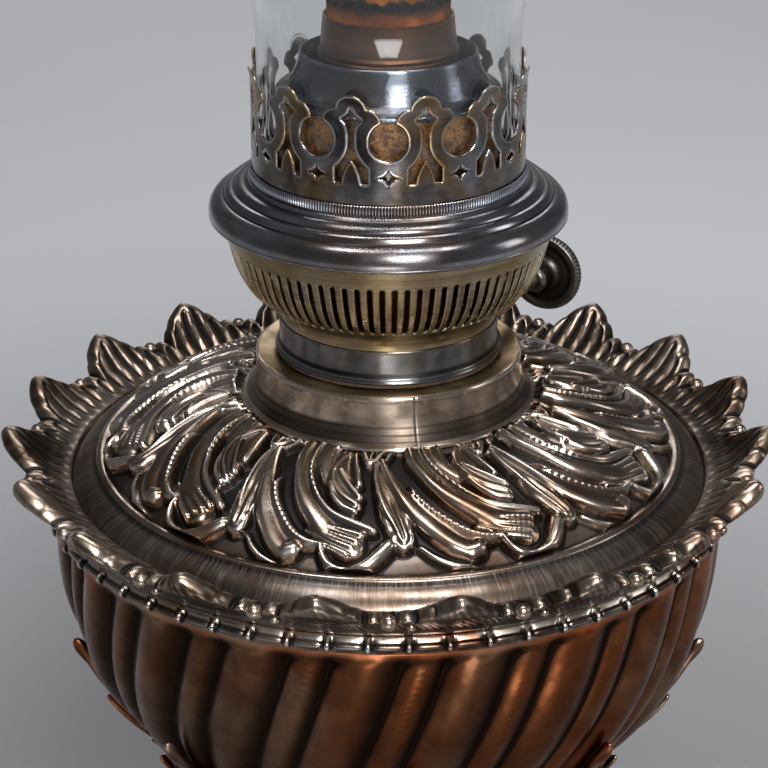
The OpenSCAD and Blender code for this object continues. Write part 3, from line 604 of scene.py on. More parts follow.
def bowl_dirt(azimuth, line):
    """Painted shade down one side of each lobe and in the bowl's grooves, fading out towards the rim."""
    depth = np.clip(RIM_Z - line[:, 1:], 0, None)
    leaned = azimuth + 5.5 * (depth / 22) ** 1.1
    wide = folded(leaned, LOBE_CENTRE, LOBE_PITCH) / WIDE_HALF
    narrow = folded(leaned, LOBE_CENTRE + LOBE_PITCH / 2, LOBE_PITCH) / NARROW_HALF
    slope = np.where(np.abs(wide) < 1, wide, narrow)
    low = smooth(depth, 0.5, 3)
    return low * np.clip(0.42 * smooth(slope, 0.0, 0.9) + 0.3 * smooth(-slope, 0.7, 1), 0, 1)


BOWL_ROWS = 150
bowl_side = [(bowl_out(z), z) for z in np.linspace(BOWL_Z, RIM_Z - 0.2, BOWL_ROWS - 1)]
bowl_inside = [(max(bowl_out(z) - 2.4, BORE_R + 1), z) for z in np.linspace(RIM_Z, BOWL_Z + BOWL_FLOOR, 30)]
bowl_line = np.array([(BORE_R, BOWL_Z)] + bowl_side + bowl_inside + [(BORE_R, BOWL_Z + BOWL_FLOOR)])
# The bowl carries painted shade down one side of each lobe and in its grooves.
turned("bowl_fluted", bowl_line, "stand", bowl_copper, columns=1080, relief=bowl_lobes, cap=True,
       replaced=["bowl"], slot="bowl_copper", wear=2.6, dirt=bowl_dirt(np.arange(1080)[None, :] / 3, bowl_line))

RIM_BEADS = 60
BEAD_R = 1.2


def rim_relief(azimuth, row, line):
    round_rows = (row >= 2) & (row < 2 + RIM_ARC)
    return round_rows * (bead_and_reel(azimuth, RIM_BEADS) - 1) * 0.8 + 0 * azimuth


RIM_ARC = 15
rim_middle = (RIM_Z + RIM_TOP) / 2
rim_arc = [(BOWL_R + 1.5 + BEAD_R * math.cos(a), rim_middle - 0.1 + BEAD_R * math.sin(a))
           for a in np.radians(np.linspace(-88, 88, RIM_ARC))]
turned("rim_beads", [(BOWL_R - 1.5, RIM_Z), (BOWL_R + 1.2, RIM_Z + 0.2)] + rim_arc
       + [(BOWL_R + 1.2, RIM_TOP - 0.1), (BOWL_R - 1.5, RIM_TOP)], "stand",
       rim_silver, columns=RIM_BEADS * 24, relief=rim_relief, cap=True, replaced=["bowl_rim"],
       slot="rim_silver", wear=1.0)


# Rings of leaves

def leaf_ring(name, body, material, leaves, per_leaf, outline, outer, inner, relief, rows=44, rim=0.9,
              first=0.0, **more):
    """Ring whose top edge is cut into leaves.

    outline(x) is the height of the edge as a share of the full line, for x from -0.5 to 0.5 across a
    leaf. outer and inner are lines of (radius, height) for shares 0, 0.1 .. 1, and relief(x, share)
    gives how far the outer and the inner face stand out. first is where the first leaf's middle is, in degrees.
    """
    columns = leaves * per_leaf
    azimuth = np.arange(columns) * 360 / columns
    x = folded(azimuth, first, 360 / leaves) * leaves / 360
    top = outline(x)
    v = np.concatenate([np.linspace(0, rim, rows - 9), rim + (1 - rim) * np.sin(np.linspace(0.15, 1, 9) * math.pi / 2)])
    share = v[:, None] * top[None, :]
    knots = np.linspace(0, 1, len(outer))
    faces = []
    for line in (np.asarray(outer, float), np.asarray(inner, float)):
        radius, height = (np.interp(share, knots, line[:, k]) for k in (0, 1))
        slope = np.gradient(line, axis=0)
        normal = np.stack([slope[:, 1], -slope[:, 0]], 1)
        normal /= np.linalg.norm(normal, axis=1, keepdims=True)
        nr, nz = (np.interp(share, knots, normal[:, k]) for k in (0, 1))
        faces.append((radius, height, nr, nz))
    push_out, push_in = relief(x[None, :], share, top[None, :])
    (ro, zo, nro, nzo), (ri, zi, nri, nzi) = faces
    ro, zo = ro + push_out * nro, zo + push_out * nzo
    ri, zi = ri - push_in * nri, zi - push_in * nzi
    middle_r, middle_z = (ro + ri) / 2, (zo + zi) / 2
    edge = np.clip((v - rim) / (1 - rim), 0, 1)[:, None]
    thick = np.sqrt(np.clip(1 - 0.96 * edge ** 2, 0, 1))
    ro, zo = middle_r + (ro - middle_r) * thick, middle_z + (zo - middle_z) * thick
    ri, zi = middle_r + (ri - middle_r) * thick, middle_z + (zi - middle_z) * thick
    radius = np.vstack([ro, ri[::-1]])
    height = np.vstack([zo, zi[::-1]])
    points = round_points(radius, height, azimuth[None, :]).reshape(-1, 3)
    quads = grid(len(radius), columns)
    last = (len(radius) - 1) * columns
    c = np.arange(columns)
    d = (c + 1) % columns
    quads = np.vstack([quads, np.stack([last + c, last + d, d, c], 1)])
    return make_mesh(name, points, quads, body, material, **more)


def finger(x, centre, half, height, power=1.8):
    """Rounded tip of one finger of a leaf; a higher power makes it blunter."""
    return height * np.clip(1 - np.abs((x - centre) / half) ** power, 0, 1) ** (1.1 / power)


def steps_between(line, count=21):
    """Evenly counted points along a line, by its height."""
    line = np.asarray(line, float)
    t = np.linspace(0, 1, count)
    own = np.concatenate([[0], np.cumsum(np.linalg.norm(np.diff(line, axis=0), axis=1))])
    own /= own[-1]
    return np.stack([np.interp(t, own, line[:, k]) for k in (0, 1)], 1)


def crown_outline(x):
    """Pointed leaf with a smaller lobe low on each side."""
    side = np.clip(np.abs(x) / 0.37, 0, 1)
    notch = 0.04 * np.exp(-((x + 0.17) / 0.03) ** 2) + 0.035 * np.exp(-((x - 0.22) / 0.03) ** 2)
    middle = (1 - 0.4 * (side ** 2 + 0.006) ** 0.5) * np.sqrt(1 - side ** 5) + 0.02 - notch
    lobes_beside = finger(x, -0.36, 0.13, 0.6, 2.2), finger(x, 0.39, 0.11, 0.54, 2.2)
    sharp = 26
    blended = sum(np.exp(sharp * part) for part in (middle, *lobes_beside, 0.42 + 0 * x))
    return np.minimum(np.log(blended) / sharp, 1)


def crown_relief(x, share, top):
    spread = 1 - 0.35 * smooth(share, 0.4, 1)
    rib = np.abs(np.cos(math.pi * 6.5 * x / spread)) ** 0.7
    up = share / top
    ribs = smooth(share, 0.16, 0.42) * (rib - 0.6) * (1 - smooth(up, 0.84, 0.93))
    lines = 0.07 * np.sin(x * 110 + share * 34) * smooth(share, 0.16, 0.3)
    swell = 0.5 * smooth(share, 0.22, 0.5) * np.cos(math.pi * np.clip(x / 0.9, -0.5, 0.5)) ** 2
    return swell - 0.35 + 0.25 * smooth(up, 0.9, 1) + lines, 1.1 * ribs + 0.3 * smooth(up, 0.86, 0.93)


CROWN_LEAVES = 19
crown_outer = [(BOWL_R + 1.4, CROWN_Z), (BOWL_R + 3.0, CROWN_Z + 1.2), (BOWL_R + 3.9, CROWN_Z + 2.6), (BOWL_R + 5.4, CROWN_Z + 4.4),
               (BOWL_R + 7.4, CROWN_Z + 6.2), (CROWN_R - 1.0, CROWN_Z + 8.6), (CROWN_R + 0.1, CROWN_TOP - 2.4)]
crown_inner = [(BOWL_R - 3.7, CROWN_Z), (BOWL_R - 3.7, CROWN_Z + 2.6), (BOWL_R + 1.4, CROWN_Z + 5.0),
               (BOWL_R + 4.6, CROWN_Z + 8.0), (CROWN_R - 4.0, CROWN_Z + 11.2), (CROWN_R - 2.2, CROWN_TOP)]
leaf_ring("crown_leaves", "font", crown_silver, CROWN_LEAVES, 76, crown_outline, steps_between(crown_outer),
          steps_between(crown_inner), crown_relief, rows=50, rim=0.84, first=180 / CROWN_LEAVES,
          replaced=["leaf_crown"], slot="crown_silver", wear=1.2)


def bead_ring(name, body, material, count, radius, height, size, shift=0.0, squash=1.0, slot=None):
    """Separate round beads on a ring."""
    rings, segments = 10, 14
    points, faces = [], []
    for i in range(count):
        azimuth = shift + i * 360 / count
        centre = round_points(np.array(radius), np.array(height), np.array(azimuth))
        first = len(points)
        for k in range(rings + 1):
            t = math.pi * k / rings
            for j in range(segments):
                a = 2 * math.pi * j / segments
                points.append(centre + size * np.array([
                    math.sin(t) * math.cos(a), math.sin(t) * math.sin(a), squash * math.cos(t)]))
        for k in range(rings):
            for j in range(segments):
                b = (j + 1) % segments
                faces.append((first + k * segments + j, first + (k + 1) * segments + j,
                              first + (k + 1) * segments + b, first + k * segments + b))
    return make_mesh(name, np.array(points), np.array(faces), body, material, slot=slot)


bead_ring("crown_beads", "font", crown_silver, CROWN_LEAVES, BOWL_R + 5.2, CROWN_Z + 5.2, 1.55, slot="crown_silver")
bead_ring("crown_pearls", "font", crown_silver, CROWN_LEAVES, BOWL_R + 5.6, CROWN_Z + 4.4, 0.85, shift=3.1,
          slot="crown_silver")


def calyx_outline(x):
    side = np.abs(x)
    fingers = [finger(side, 0, 0.13, 1.0), finger(side, 0.19, 0.1, 0.86), finger(side, 0.31, 0.09, 0.69),
               finger(side, 0.42, 0.08, 0.55)]
    return np.maximum(0.42, np.maximum.reduce(fingers))


def calyx_relief(x, share, top):
    spread = 1 - 0.35 * smooth(share, 0.3, 1)
    veins = np.abs(np.cos(math.pi * 9 * x / spread)) ** 0.7
    midrib = np.exp(-(x / 0.018) ** 2)
    curl = 1.3 * smooth(share / top, 0.82, 1)
    return 0.55 * veins - 0.5 + 0.5 * midrib + curl, 0 * x + 0 * share - 0.0 + 0 * curl


HUB_R = reach("stem_neck")
calyx_z = np.linspace(BOWL_Z, CALYX_TOP, 20)
calyx_outer = [(16.5, HUB_Z), (17.6, HUB_Z + 2)] + [(bowl_out(z) + 2.1, z) for z in calyx_z]
calyx_inner = [(BORE_R, HUB_Z), (BORE_R, BOWL_Z - 0.1)] + [(bowl_out(z) + 0.45, z) for z in calyx_z]
leaf_ring("calyx_leaves", "stand", stand_copper, 9, 120, calyx_outline, steps_between(calyx_outer, 31),
          steps_between(calyx_inner, 31), calyx_relief, rows=60, rim=0.95, replaced=["calyx"],
          slot="stand_copper", wear=1.4)


# Stem and foot

def ring_row(line, row, z0, z1):
    """Rows of a line between two heights, as a soft mask."""
    z = line[row[:, 0], 1][:, None]
    return smooth(z, z0, z0 + 0.8) * (1 - smooth(z, z1 - 0.8, z1))


def stem_spool():
    h = KNOP_Z - SPOOL_Z
    side = [(9 + 7 * (1 - s) ** 2.2 + 2 * s ** 3, SPOOL_Z + 3.8 + (h - 6.3) * s) for s in np.linspace(0, 1, 20)]
    line = [(BORE_R, SPOOL_Z), (19, SPOOL_Z), (20, SPOOL_Z + 1.5), (18, SPOOL_Z + 3)] + side \
        + [(12, KNOP_Z - 1.8), (12, KNOP_Z), (BORE_R, KNOP_Z)]
    line = spaced(rounded(line, 0.5), 0.5)

    def relief(azimuth, row, line):
        flutes = np.abs(np.cos(np.radians(azimuth) * 8))
        bead_rows = ring_row(line, row, SPOOL_Z + 0.3, SPOOL_Z + 2.9)
        return ring_row(line, row, SPOOL_Z + 5, KNOP_Z - 4) * (flutes - 1) * 0.9 \
            + bead_rows * (beads(azimuth, 44) - 1) * 0.6

    turned("spool_fluted", line, "stand", stand_copper, columns=528, relief=relief, cap=True,
           replaced=["stem_spool"], slot="stand_copper")


def stem_knop():
    h = NECK_Z - KNOP_Z
    side = [(10 + 9.5 * math.sin(math.pi * s ** 0.72) ** 0.8, KNOP_Z + 3 + (h - 6) * s)
            for s in np.linspace(0.02, 0.98, 40)]
    line = [(BORE_R, KNOP_Z), (12, KNOP_Z), (12, KNOP_Z + 1.2), (10, KNOP_Z + 3)] + side \
        + [(10, NECK_Z - 3), (11, NECK_Z - 1.2), (11, NECK_Z), (BORE_R, NECK_Z)]
    line = spaced(rounded(line, 0.4), 0.5)

    def relief(azimuth, row, line):
        z = line[row[:, 0], 1][:, None]
        high_lobe, _ = lobes(azimuth * 0.75 * 2 + (z - KNOP_Z) * 1.4)
        return ring_row(line, row, KNOP_Z + 5, NECK_Z - 5) * (high_lobe - 1) * 1.1

    turned("knop_gadrooned", line, "stand", stand_copper, columns=540, relief=relief, cap=True,
           replaced=["stem_knop"], slot="stand_copper")


def stem_neck():
    h = HUB_Z - NECK_Z
    side = [(7.5 + 2 * (1 - s) ** 2 + 6 * s ** 2.6, NECK_Z + 2.4 + (h - 5.4) * s) for s in np.linspace(0, 1, 24)]
    line = [(BORE_R, NECK_Z), (11, NECK_Z), (11, NECK_Z + 1.4)] + side \
        + [(16, HUB_Z - 2), (16, HUB_Z), (BORE_R, HUB_Z)]
    line = spaced(rounded(line, 0.4), 0.5)

    def relief(azimuth, row, line):
        leaves = np.abs(np.sin(np.radians(azimuth) * 6)) ** 0.6
        return ring_row(line, row, NECK_Z + 6, HUB_Z - 2.5) * (leaves - 1) * 0.8 \
            + ring_row(line, row, HUB_Z - 2.2, HUB_Z) * (beads(azimuth, 40) - 1) * 0.5

    turned("neck_leafed", line, "stand", stand_copper, columns=480, relief=relief, cap=True,
           replaced=["stem_neck"], slot="stand_copper")


def foot():
    wall = 2.4
    dome_top_r, border = 24, 9

    def dome(inset):
        return [(dome_top_r + (FOOT_R - border - dome_top_r) * (1 - s) - inset,
                 9.6 - inset + (FOOT_H - 12) * (0.55 * s * s + 0.45 * math.sin(math.pi / 2 * s) ** 2))
                for s in np.linspace(0, 1, 60)]

    outside = [(FOOT_R - wall, 0), (FOOT_R, 0), (FOOT_R, 5.5), (FOOT_R - 3, 7), (FOOT_R - 6, 8.6)] + dome(0) \
        + [(21, FOOT_H), (BORE_R, FOOT_H)]
    inside = [(BORE_R, FOOT_H - wall), (21 - wall, FOOT_H - wall)] + dome(wall)[::-1] + [(FOOT_R - wall, 4)]
    outside = spaced(rounded(outside, 0.6), 0.6)
    line = np.vstack([outside, np.array(inside)])
    outer_rows = len(outside)

    def relief(azimuth, row, line):
        r, z = (line[row[:, 0], k][:, None] for k in (0, 1))
        outer = row < outer_rows
        share = (FOOT_R - border - r) / (FOOT_R - border - dome_top_r)
        high_lobe, _ = lobes(azimuth - share * 12)
        on_dome = smooth(share, 0.06, 0.16) * (1 - smooth(share, 0.78, 0.9)) * (z > 9.6)
        on_border = smooth(r, FOOT_R - 6.5, FOOT_R - 5.8) * (1 - smooth(r, FOOT_R - 2.4, FOOT_R - 1.6)) * (z > 6)
        return outer * (on_dome * (high_lobe - 1) * 1.5 * np.clip(r / 50, 0.4, 1)
                        + on_border * (beads(azimuth, 90) - 1) * 0.8)

    turned("foot_chased", line, "stand", stand_copper, columns=1080, relief=relief, cap=True,
           replaced=["foot"], slot="stand_copper", wear=1.6)


stem_spool()
stem_knop()
stem_neck()
foot()


# Font cover: embossed strokes on a dome

TILES = 10
TILE = 360 / TILES
TILE_START = 12
COVER_HOLE_R, COLLAR_R = 21.6, COLLAR_FLANGE_R - 3.4
BEAD_RING_R = BOWL_R - 9.1
FONT_EDGE_R = BOWL_R - 3.8
RELIEF_IN, RELIEF_OUT = COLLAR_FLANGE_R + 0.4, BEAD_RING_R - 2.0


def stroke(x, y, path, half, steps=22):
    """How far points lie from a curved line, in half widths and with a sign, and how far along it.

    path holds (degrees, radius) pairs from the tile's start, and half the half width at each.
    """
    path = np.asarray(path, float)
    a = np.radians(path[:, 0])
    line = curve_through(np.stack([path[:, 1] * np.sin(a), path[:, 1] * np.cos(a)], 1), steps)
    width = np.interp(np.linspace(0, 1, steps), np.linspace(0, 1, len(half)), half)
    nearest = np.full(x.shape, 9.0)
    along = np.zeros(x.shape)
    box = (line.min(0) - 4, line.max(0) + 4)
    near = (x > box[0][0]) & (x < box[1][0]) & (y > box[0][1]) & (y < box[1][1])
    px, py = x[near], y[near]
    best = np.full(px.shape, 9.0)
    place = np.zeros(px.shape)
    for i, (p, q) in enumerate(zip(line[:-1], line[1:])):
        d = q - p
        t = np.clip(((px - p[0]) * d[0] + (py - p[1]) * d[1]) / (d @ d), 0, 1)
        ex, ey = px - p[0] - t * d[0], py - p[1] - t * d[1]
        ratio = np.hypot(ex, ey) / (width[i] + t * (width[i + 1] - width[i]))
        closer = ratio < np.abs(best)
        best[closer] = (ratio * np.where(d[0] * ey - d[1] * ex < 0, 1, -1))[closer]
        place[closer] = ((i + t) / (steps - 1))[closer]
    nearest[near], along[near] = best, place
    return nearest, along


def bulged(q, power=2.0):
    """Round cross section: 1 in the middle of a stroke and 0 at its edges."""
    return np.sqrt(np.clip(1 - np.abs(q) ** power, 0, 1))


def ribbed(q, count, depth):
    """Parallel ribs across a stroke."""
    return 1 - depth * (1 - np.abs(np.cos(math.pi * count * (q + 1) / 2 + math.pi / 2)) ** 0.7)


def edge_pearls(q, t, count, height=0.35, at=0.6):
    """Row of small pearls along one side of a stroke."""
    return height * np.abs(np.cos(math.pi * count * t)) * np.exp(-((q - at) / 0.24) ** 2)


def emboss(x, y):
    """Height of one tile's ornament over the ground."""
    marks = []

    def vein(path, half, height, power=2.0):
        """Round ridge along a line."""
        q, t = stroke(x, y, path, half)
        marks.append(bulged(q, power) * height)

    # Great lobe: a crescent that starts under the collar, round on the left and flat on the right
    q, t = stroke(x, y, [(-2.9, 30.2), (-3.1, 32.6), (-2.7, 36), (-0.3, 40.5), (1.85, 43.6), (4, 46), (6.9, 48.2),
                         (10, 50.4), (13.6, 52.3), (17.4, 54)], [1.5, 1.9, 2.0, 2.0, 2.1, 2.2, 2.4, 2.7, 3.0, 2.6], 40)
    side = np.where(q < -0.35, bulged((q + 0.35) / 0.65), 1 - 0.22 * smooth(q, -0.35, 0.6))
    side = side + (bulged(q, 2.4) - side) * smooth(t, 0.3, 0.6)
    marks.append((np.abs(q) < 1) * side * (2.9 - 1.0 * t))

    # The lobe's beaded inner edge, which bends round its head, and the round inside of the head
    q, t = stroke(x, y, [(6.5, 31.9), (4.8, 30.8), (2.6, 30.6), (0.9, 31.3), (0.1, 32.8), (0.2, 34.8), (0.9, 37.4),
                         (2.7, 40.5), (5.6, 43.6), (8.1, 45.7), (10.4, 47.3), (13, 48.5), (17, 49.8), (21.3, 51.4)],
                  [0.6, 0.6, 0.6, 0.65, 0.65, 0.65, 0.65, 0.65, 0.75, 0.85, 0.95, 1.1, 1.2, 1.1], 50)
    beading = 0.45 * np.abs(np.sin(math.pi * 33 * t)) * (1 - smooth(t, 0.6, 0.7))
    marks.append(bulged(q) * (2.6 - 0.1 * t + beading))
    q, t = stroke(x, y, [(3.4, 32.0), (3.8, 34.5), (5.2, 37.5), (7.5, 40.3), (10.2, 42.4)], [2.5, 2.4, 1.9, 1.3, 0.6], 20)
    marks.append(bulged(q, 2.4) * (2.5 - 1.6 * t))

    # Ribs that fan out from the lobe's end
    for k in range(4):
        q, t = stroke(x, y, [(8.2 - 0.6 * k, 48.8 + 1.0 * k), (12.4 - 0.3 * k, 50.6 + 1.15 * k),
                             (19.2 - 0.9 * k, 52.3 + 1.15 * k)], [0.4, 0.75, 0.85], 16)
        marks.append(bulged(q) * (2.35 * (0.7 + 0.3 * smooth(t, 0.1, 0.8)) + 0.16 * np.abs(np.sin(math.pi * 12 * t))))

    # Band to the left of the lobe, with fine beads along its edge and a deep groove after it
    q, t = stroke(x, y, [(-8.8, 33.5), (-9.4, 37), (-8.4, 40.4), (-6.4, 44.4), (-3.6, 48), (0, 51), (3.6, 53.3),
                         (6.8, 54.4), (10, 54.5)], [0.7, 1.2, 1.5, 1.7, 1.9, 1.9, 1.7, 1.4, 0.8], 36)
    band = bulged((q - 0.35) / np.where(q < 0.35, 1.35, 0.65))
    marks.append((np.abs(q) < 1) * (0.35 + 0.65 * band) * 2.3 + bulged(q, 5) * edge_pearls(q, t, 26, 0.55, 0.5))

    # Hook under the fan
    vein([(10.9, 54.3), (11.6, 56), (13.4, 57.7), (16.6, 58.6), (20, 57.8), (22.6, 56), (24.5, 54.3)],
         [0.8, 0.9, 1.0, 1.1, 1.5, 1.8, 1.7], 2.6)

    # Small leaf with four ribs
    vein([(11.7, 34.2), (10.9, 37.8), (12, 41.4), (14.7, 44.4), (17.2, 46.4)], [0.9, 2.5, 3.2, 2.8, 1.4], 2.05, 4)
    vein([(13.6, 33.2), (14.9, 36), (16.1, 38.6), (17.1, 41.4)], [0.55, 0.7, 0.8, 1.0], 2.5)
    vein([(10.3, 38.2), (12.3, 40), (15, 42.2), (17.8, 44.6)], [0.7, 0.8, 0.9, 1.1], 2.65)
    vein([(8.7, 38.6), (10.4, 41.8), (12.9, 44), (17.2, 46.2)], [0.7, 0.8, 0.9, 1.1], 2.65)
    vein([(9.2, 41.5), (11, 44.4), (13.8, 46.5), (17, 47.6)], [0.7, 0.9, 1.0, 1.0], 2.55)
    vein([(12, 33), (9.8, 34.8), (8.6, 37.6), (8.6, 40.2)], [0.6, 0.8, 0.8, 0.6], 2.3)

    # Small rosette under the collar
    vein([(14.4, 29), (16.3, 32.4), (18.7, 34.8), (21.6, 33), (23.6, 29.8)], [0.7, 0.7, 0.8, 0.7, 0.7], 1.7)
    vein([(18.9, 29), (18.7, 34.4)], [0.5, 0.6], 1.5)
    vein([(27, 31), (24.2, 34.4), (22, 36.2)], [0.5, 0.6, 0.7], 1.9)

    # Leaf with beaded ribs on its lower half and a sharp left edge
    q, t = stroke(x, y, [(22.4, 36.5), (23.1, 40.5), (24.5, 44.5), (25.6, 48), (26.7, 51), (27.5, 53.6)],
                  [1.2, 1.8, 2.5, 2.9, 2.7, 2.3], 26)
    low_half = smooth(t, 0.3, 0.55)
    ribs = 1 - low_half * (1 - ribbed(q, 4, 0.28)) - 0.12 * low_half * np.abs(np.cos(math.pi * t * 30))
    marks.append(bulged(q, 4) * ribs * (1.7 + 1.2 * smooth(t, 0.3, 0.95)))
    vein([(21.4, 35.6), (21.3, 39.5), (22.2, 42.8), (23.5, 46.4), (25.2, 49.8), (26.8, 52.4)],
         [0.6, 0.65, 0.65, 0.65, 0.65, 0.5], 2.5)

    # Long rib beside it, which widens and ends in a knob
    q, t = stroke(x, y, [(22.9, 35.3), (23.9, 37.2), (25.9, 40.6), (28.5, 45), (30.3, 47.8), (32.1, 50), (34.7, 52.5),
                         (37.2, 54.8), (40, 56.4)], [0.7, 0.8, 1.2, 1.7, 2.0, 2.2, 2.2, 2.1, 1.8], 36)
    band = bulged((q + 0.3) / np.where(q < -0.3, 0.7, 1.3))
    marks.append((np.abs(q) < 1) * (0.3 + 0.7 * band) * 2.6)
    vein([(40.2, 56.4), (41.6, 55.9)], [1.9, 1.9], 2.8)
    vein([(30.6, 55), (33, 56.9), (36.4, 58.4), (40.6, 59.4), (42.5, 59.7)], [0.6, 0.8, 0.8, 0.8, 0.6], 1.6)
    return np.maximum.reduce(marks)


def dome_relief(azimuth, radius):
    """Ornament all round the dome, with small differences from tile to tile."""
    wave = np.radians(azimuth)
    turned_by = 0.5 * np.sin(wave * 3 + 1) + 0.35 * np.sin(wave * 7 + 2.2) + 0.2 * np.sin(radius / 5 + wave * 4)
    r = radius + 0.35 * np.sin(wave * 5 + 0.4) + 0.25 * np.sin(wave * 11)
    local = (azimuth + turned_by - TILE_START + 6) % TILE - 6
    relief = np.zeros(np.broadcast(azimuth, radius).shape)
    for offset in (0, TILE):
        a = np.radians(local + offset)
        relief = np.maximum(relief, emboss(r * np.sin(a), r * np.cos(a)))
    inside = smooth(radius, RELIEF_IN - 0.6, RELIEF_IN + 0.8) * (1 - smooth(radius, RELIEF_OUT - 0.5, RELIEF_OUT + 0.2))
    return relief, inside


def softened(values, times):
    """Relief with its sharp edges rounded off, as pressed sheet has them."""
    for _ in range(times):
        values = (np.roll(values, 1, 1) + 2 * values + np.roll(values, -1, 1)) / 4
        beyond = np.vstack([values[:1], values, values[-1:]])
        values = (beyond[:-2] + 2 * values + beyond[2:]) / 4
    return values


def font_cover():
    """Embossed dome with a thin edge and a smooth slope outside it."""
    columns, base_depth = 1440, 0.55
    flat_r = COLLAR_FLANGE_R + 0.6
    span = BEAD_RING_R - 3.1 - COLLAR_FLANGE_R
    fall = DOME_TOP - CROWN_Z - 6
    slope = [(flat_r + span * s, DOME_TOP - fall * (0.30 * s + 0.70 * s ** 2.1)) for s in np.linspace(0, 1, 120)]
    edge_z = CROWN_Z + 5.8
    roll = [(BEAD_RING_R - 0.9 + 1.3 * math.cos(a), edge_z - 0.35 + 0.95 * math.sin(a))
            for a in np.radians(np.linspace(165, 15, 16))]
    skirt = [(BEAD_RING_R + 0.9, edge_z - 0.6), (BEAD_RING_R + 2.4, edge_z - 1.15), (BEAD_RING_R + 3.8, edge_z - 2.0),
             (BEAD_RING_R + 4.9, edge_z - 3.1), (BEAD_RING_R + 5.7, edge_z - 4.3)]
    top = [(COVER_HOLE_R, DOME_TOP), (COLLAR_R, DOME_TOP)] + slope + roll + [tuple(p) for p in
                                                                            curve_through(skirt, 12)]
    under = [(r, z - 0.8) for r, z in top[::6]]
    line = np.array(under + top[::-1])
    on_top = (np.arange(len(line)) >= len(under))[:, None]
    azimuth = (np.arange(columns) * 360 / columns)[None, :]
    radius = line[:, :1]
    ornament, inside = dome_relief(azimuth, radius)
    ground = 1 - smooth(ornament, 0.15, 0.9)
    stipple = 0.07 * np.sin(azimuth * 9.3 + radius * 7) * np.sin(azimuth * 5.1 - radius * 8.3)
    sunk = base_depth * (1 - smooth(radius, 50, 57))
    push = softened(on_top * inside * (ornament - sunk + stipple * ground), 2)
    # Painted highlight: the skirt's painted shade thins out at the front.
    front_highlight = np.exp(-(folded(azimuth, 3, 360) / 17) ** 2)
    # Tarnish on the ground between the ornament, fading outwards; a little darker from the foot of the slope outwards;
    # painted shade down the skirt into the channel, thinner at the front.
    dirt = on_top * inside * ground * (0.95 - 0.4 * smooth(radius, 51, 57)) \
        + on_top * 0.25 * smooth(radius, BEAD_RING_R - 3, BEAD_RING_R - 2) \
        + on_top * (0.44 - 0.34 * front_highlight) * smooth(radius, BEAD_RING_R + 0.3, BEAD_RING_R + 0.9)
    dirt = np.clip(dirt, 0, 1)
    turned("font_cover_embossed", line, "font", font_silver, columns=columns, relief=lambda *place: push, cap=True,
           replaced=["font_cover"], slot="font_silver", wear=1.1, dirt=dirt)


font_cover()


# Collar and burner

def seam(azimuth, at, half, depth):
    """Fine groove along one direction."""
    return -depth * np.exp(-(folded(azimuth, at, 360) / half) ** 2)


def font_collar():
    bore = COVER_HOLE_R - 1.2
    top, z = COLLAR_TOP, DOME_TOP
    line = [(bore, z - 3), (bore + 0.9, z - 3), (bore + 0.9, top - 0.8), (COLLAR_R - 0.8, top - 0.8),
            (COLLAR_R - 0.8, z + 1.2), (COLLAR_R - 1.6, z), (COLLAR_FLANGE_R - 0.5, z),
            (COLLAR_FLANGE_R, z + 0.35), (COLLAR_FLANGE_R - 0.25, z + 0.8), (COLLAR_R + 1.9, z + 1.5),
            (COLLAR_R + 0.95, z + 2.6), (COLLAR_R + 0.35, z + 4.0), (COLLAR_R + 0.1, z + 5.8),
            (COLLAR_R, top - 1.3), (COLLAR_R + 0.1, top - 0.9), (COLLAR_R - 0.1, top - 0.2),
            (COLLAR_R - 0.8, top - 0.1), (bore + 2.2, top - 0.7), (bore, top - 0.7)]
    line = spaced(rounded(line, 0.35), 0.6)

    def relief(azimuth, row, line):
        outside = line[row[:, 0], 0][:, None] > COLLAR_R - 0.3
        wave = np.radians(azimuth)
        dented = 0.07 * np.sin(wave * 5 + 1) * np.sin(line[:, 1:] * 0.6) + 0.05 * np.sin(wave * 13)
        return outside * (seam(azimuth, 11, 0.25, 0.06) + dented)

    turned("collar_turned", line, "font", collar_silver, columns=720, relief=relief, cap=True,
           replaced=["font_collar"], slot="collar_silver", wear=0.9)
    lip = [(bore + 1, top - 0.72), (COLLAR_R - 0.7, top - 0.5), (COLLAR_R - 0.35, top - 0.12),
           (COLLAR_R - 0.75, top - 0.03), (bore + 2.2, top - 0.6)]
    turned("collar_lip", spaced(rounded(lip, 0.2), 0.6), "font", lip_brass, columns=360, cap=True,
           replaced=["font_collar"], slot="collar_silver", wear=0.9)


BASE_R = BASKET_R - 10.9
THREAD_R, TUBE_BORE = BASE_R - 2.15, 13.6


def burner_base():
    """Base ring with its thread and the floor round the wick tube."""
    z0, top = BASE_RING_Z, BASKET_Z
    thread = []
    for turn_no in range(4):
        z = BASE_Z + turn_no * 2
        thread += [(THREAD_R - 0.5, z + 0.1), (THREAD_R, z + 0.9), (THREAD_R, z + 1.2), (THREAD_R - 0.5, z + 1.9)]
    line = [(TUBE_BORE, z0 - 3), (THREAD_R - 1.4, z0 - 3), (THREAD_R - 1.4, BASE_Z)] + thread \
        + [(THREAD_R, z0), (BASE_R + 0.5, z0), (BASE_R + 0.95, z0 + 0.45), (BASE_R + 0.55, z0 + 0.85),
           (BASE_R + 0.6, z0 + 1.25), (BASE_R, z0 + 1.6), (BASE_R - 0.05, z0 + 4), (BASE_R, top - 0.4),
           (BASE_R + 0.1, top), (BASE_R - 0.6, top), (BASE_R - 0.6, z0 + 0.8),
           (THREAD_R - 1.4, z0 + 0.8), (THREAD_R - 1.4, z0 - 2.4), (TUBE_BORE, z0 - 2.4)]
    line = spaced(rounded(line, 0.25), 0.6)
    turned("base_turned", line, "burner", base_nickel, columns=480, cap=True,
           replaced=["burner_base"], slot="burner_brass", wear=0.8)


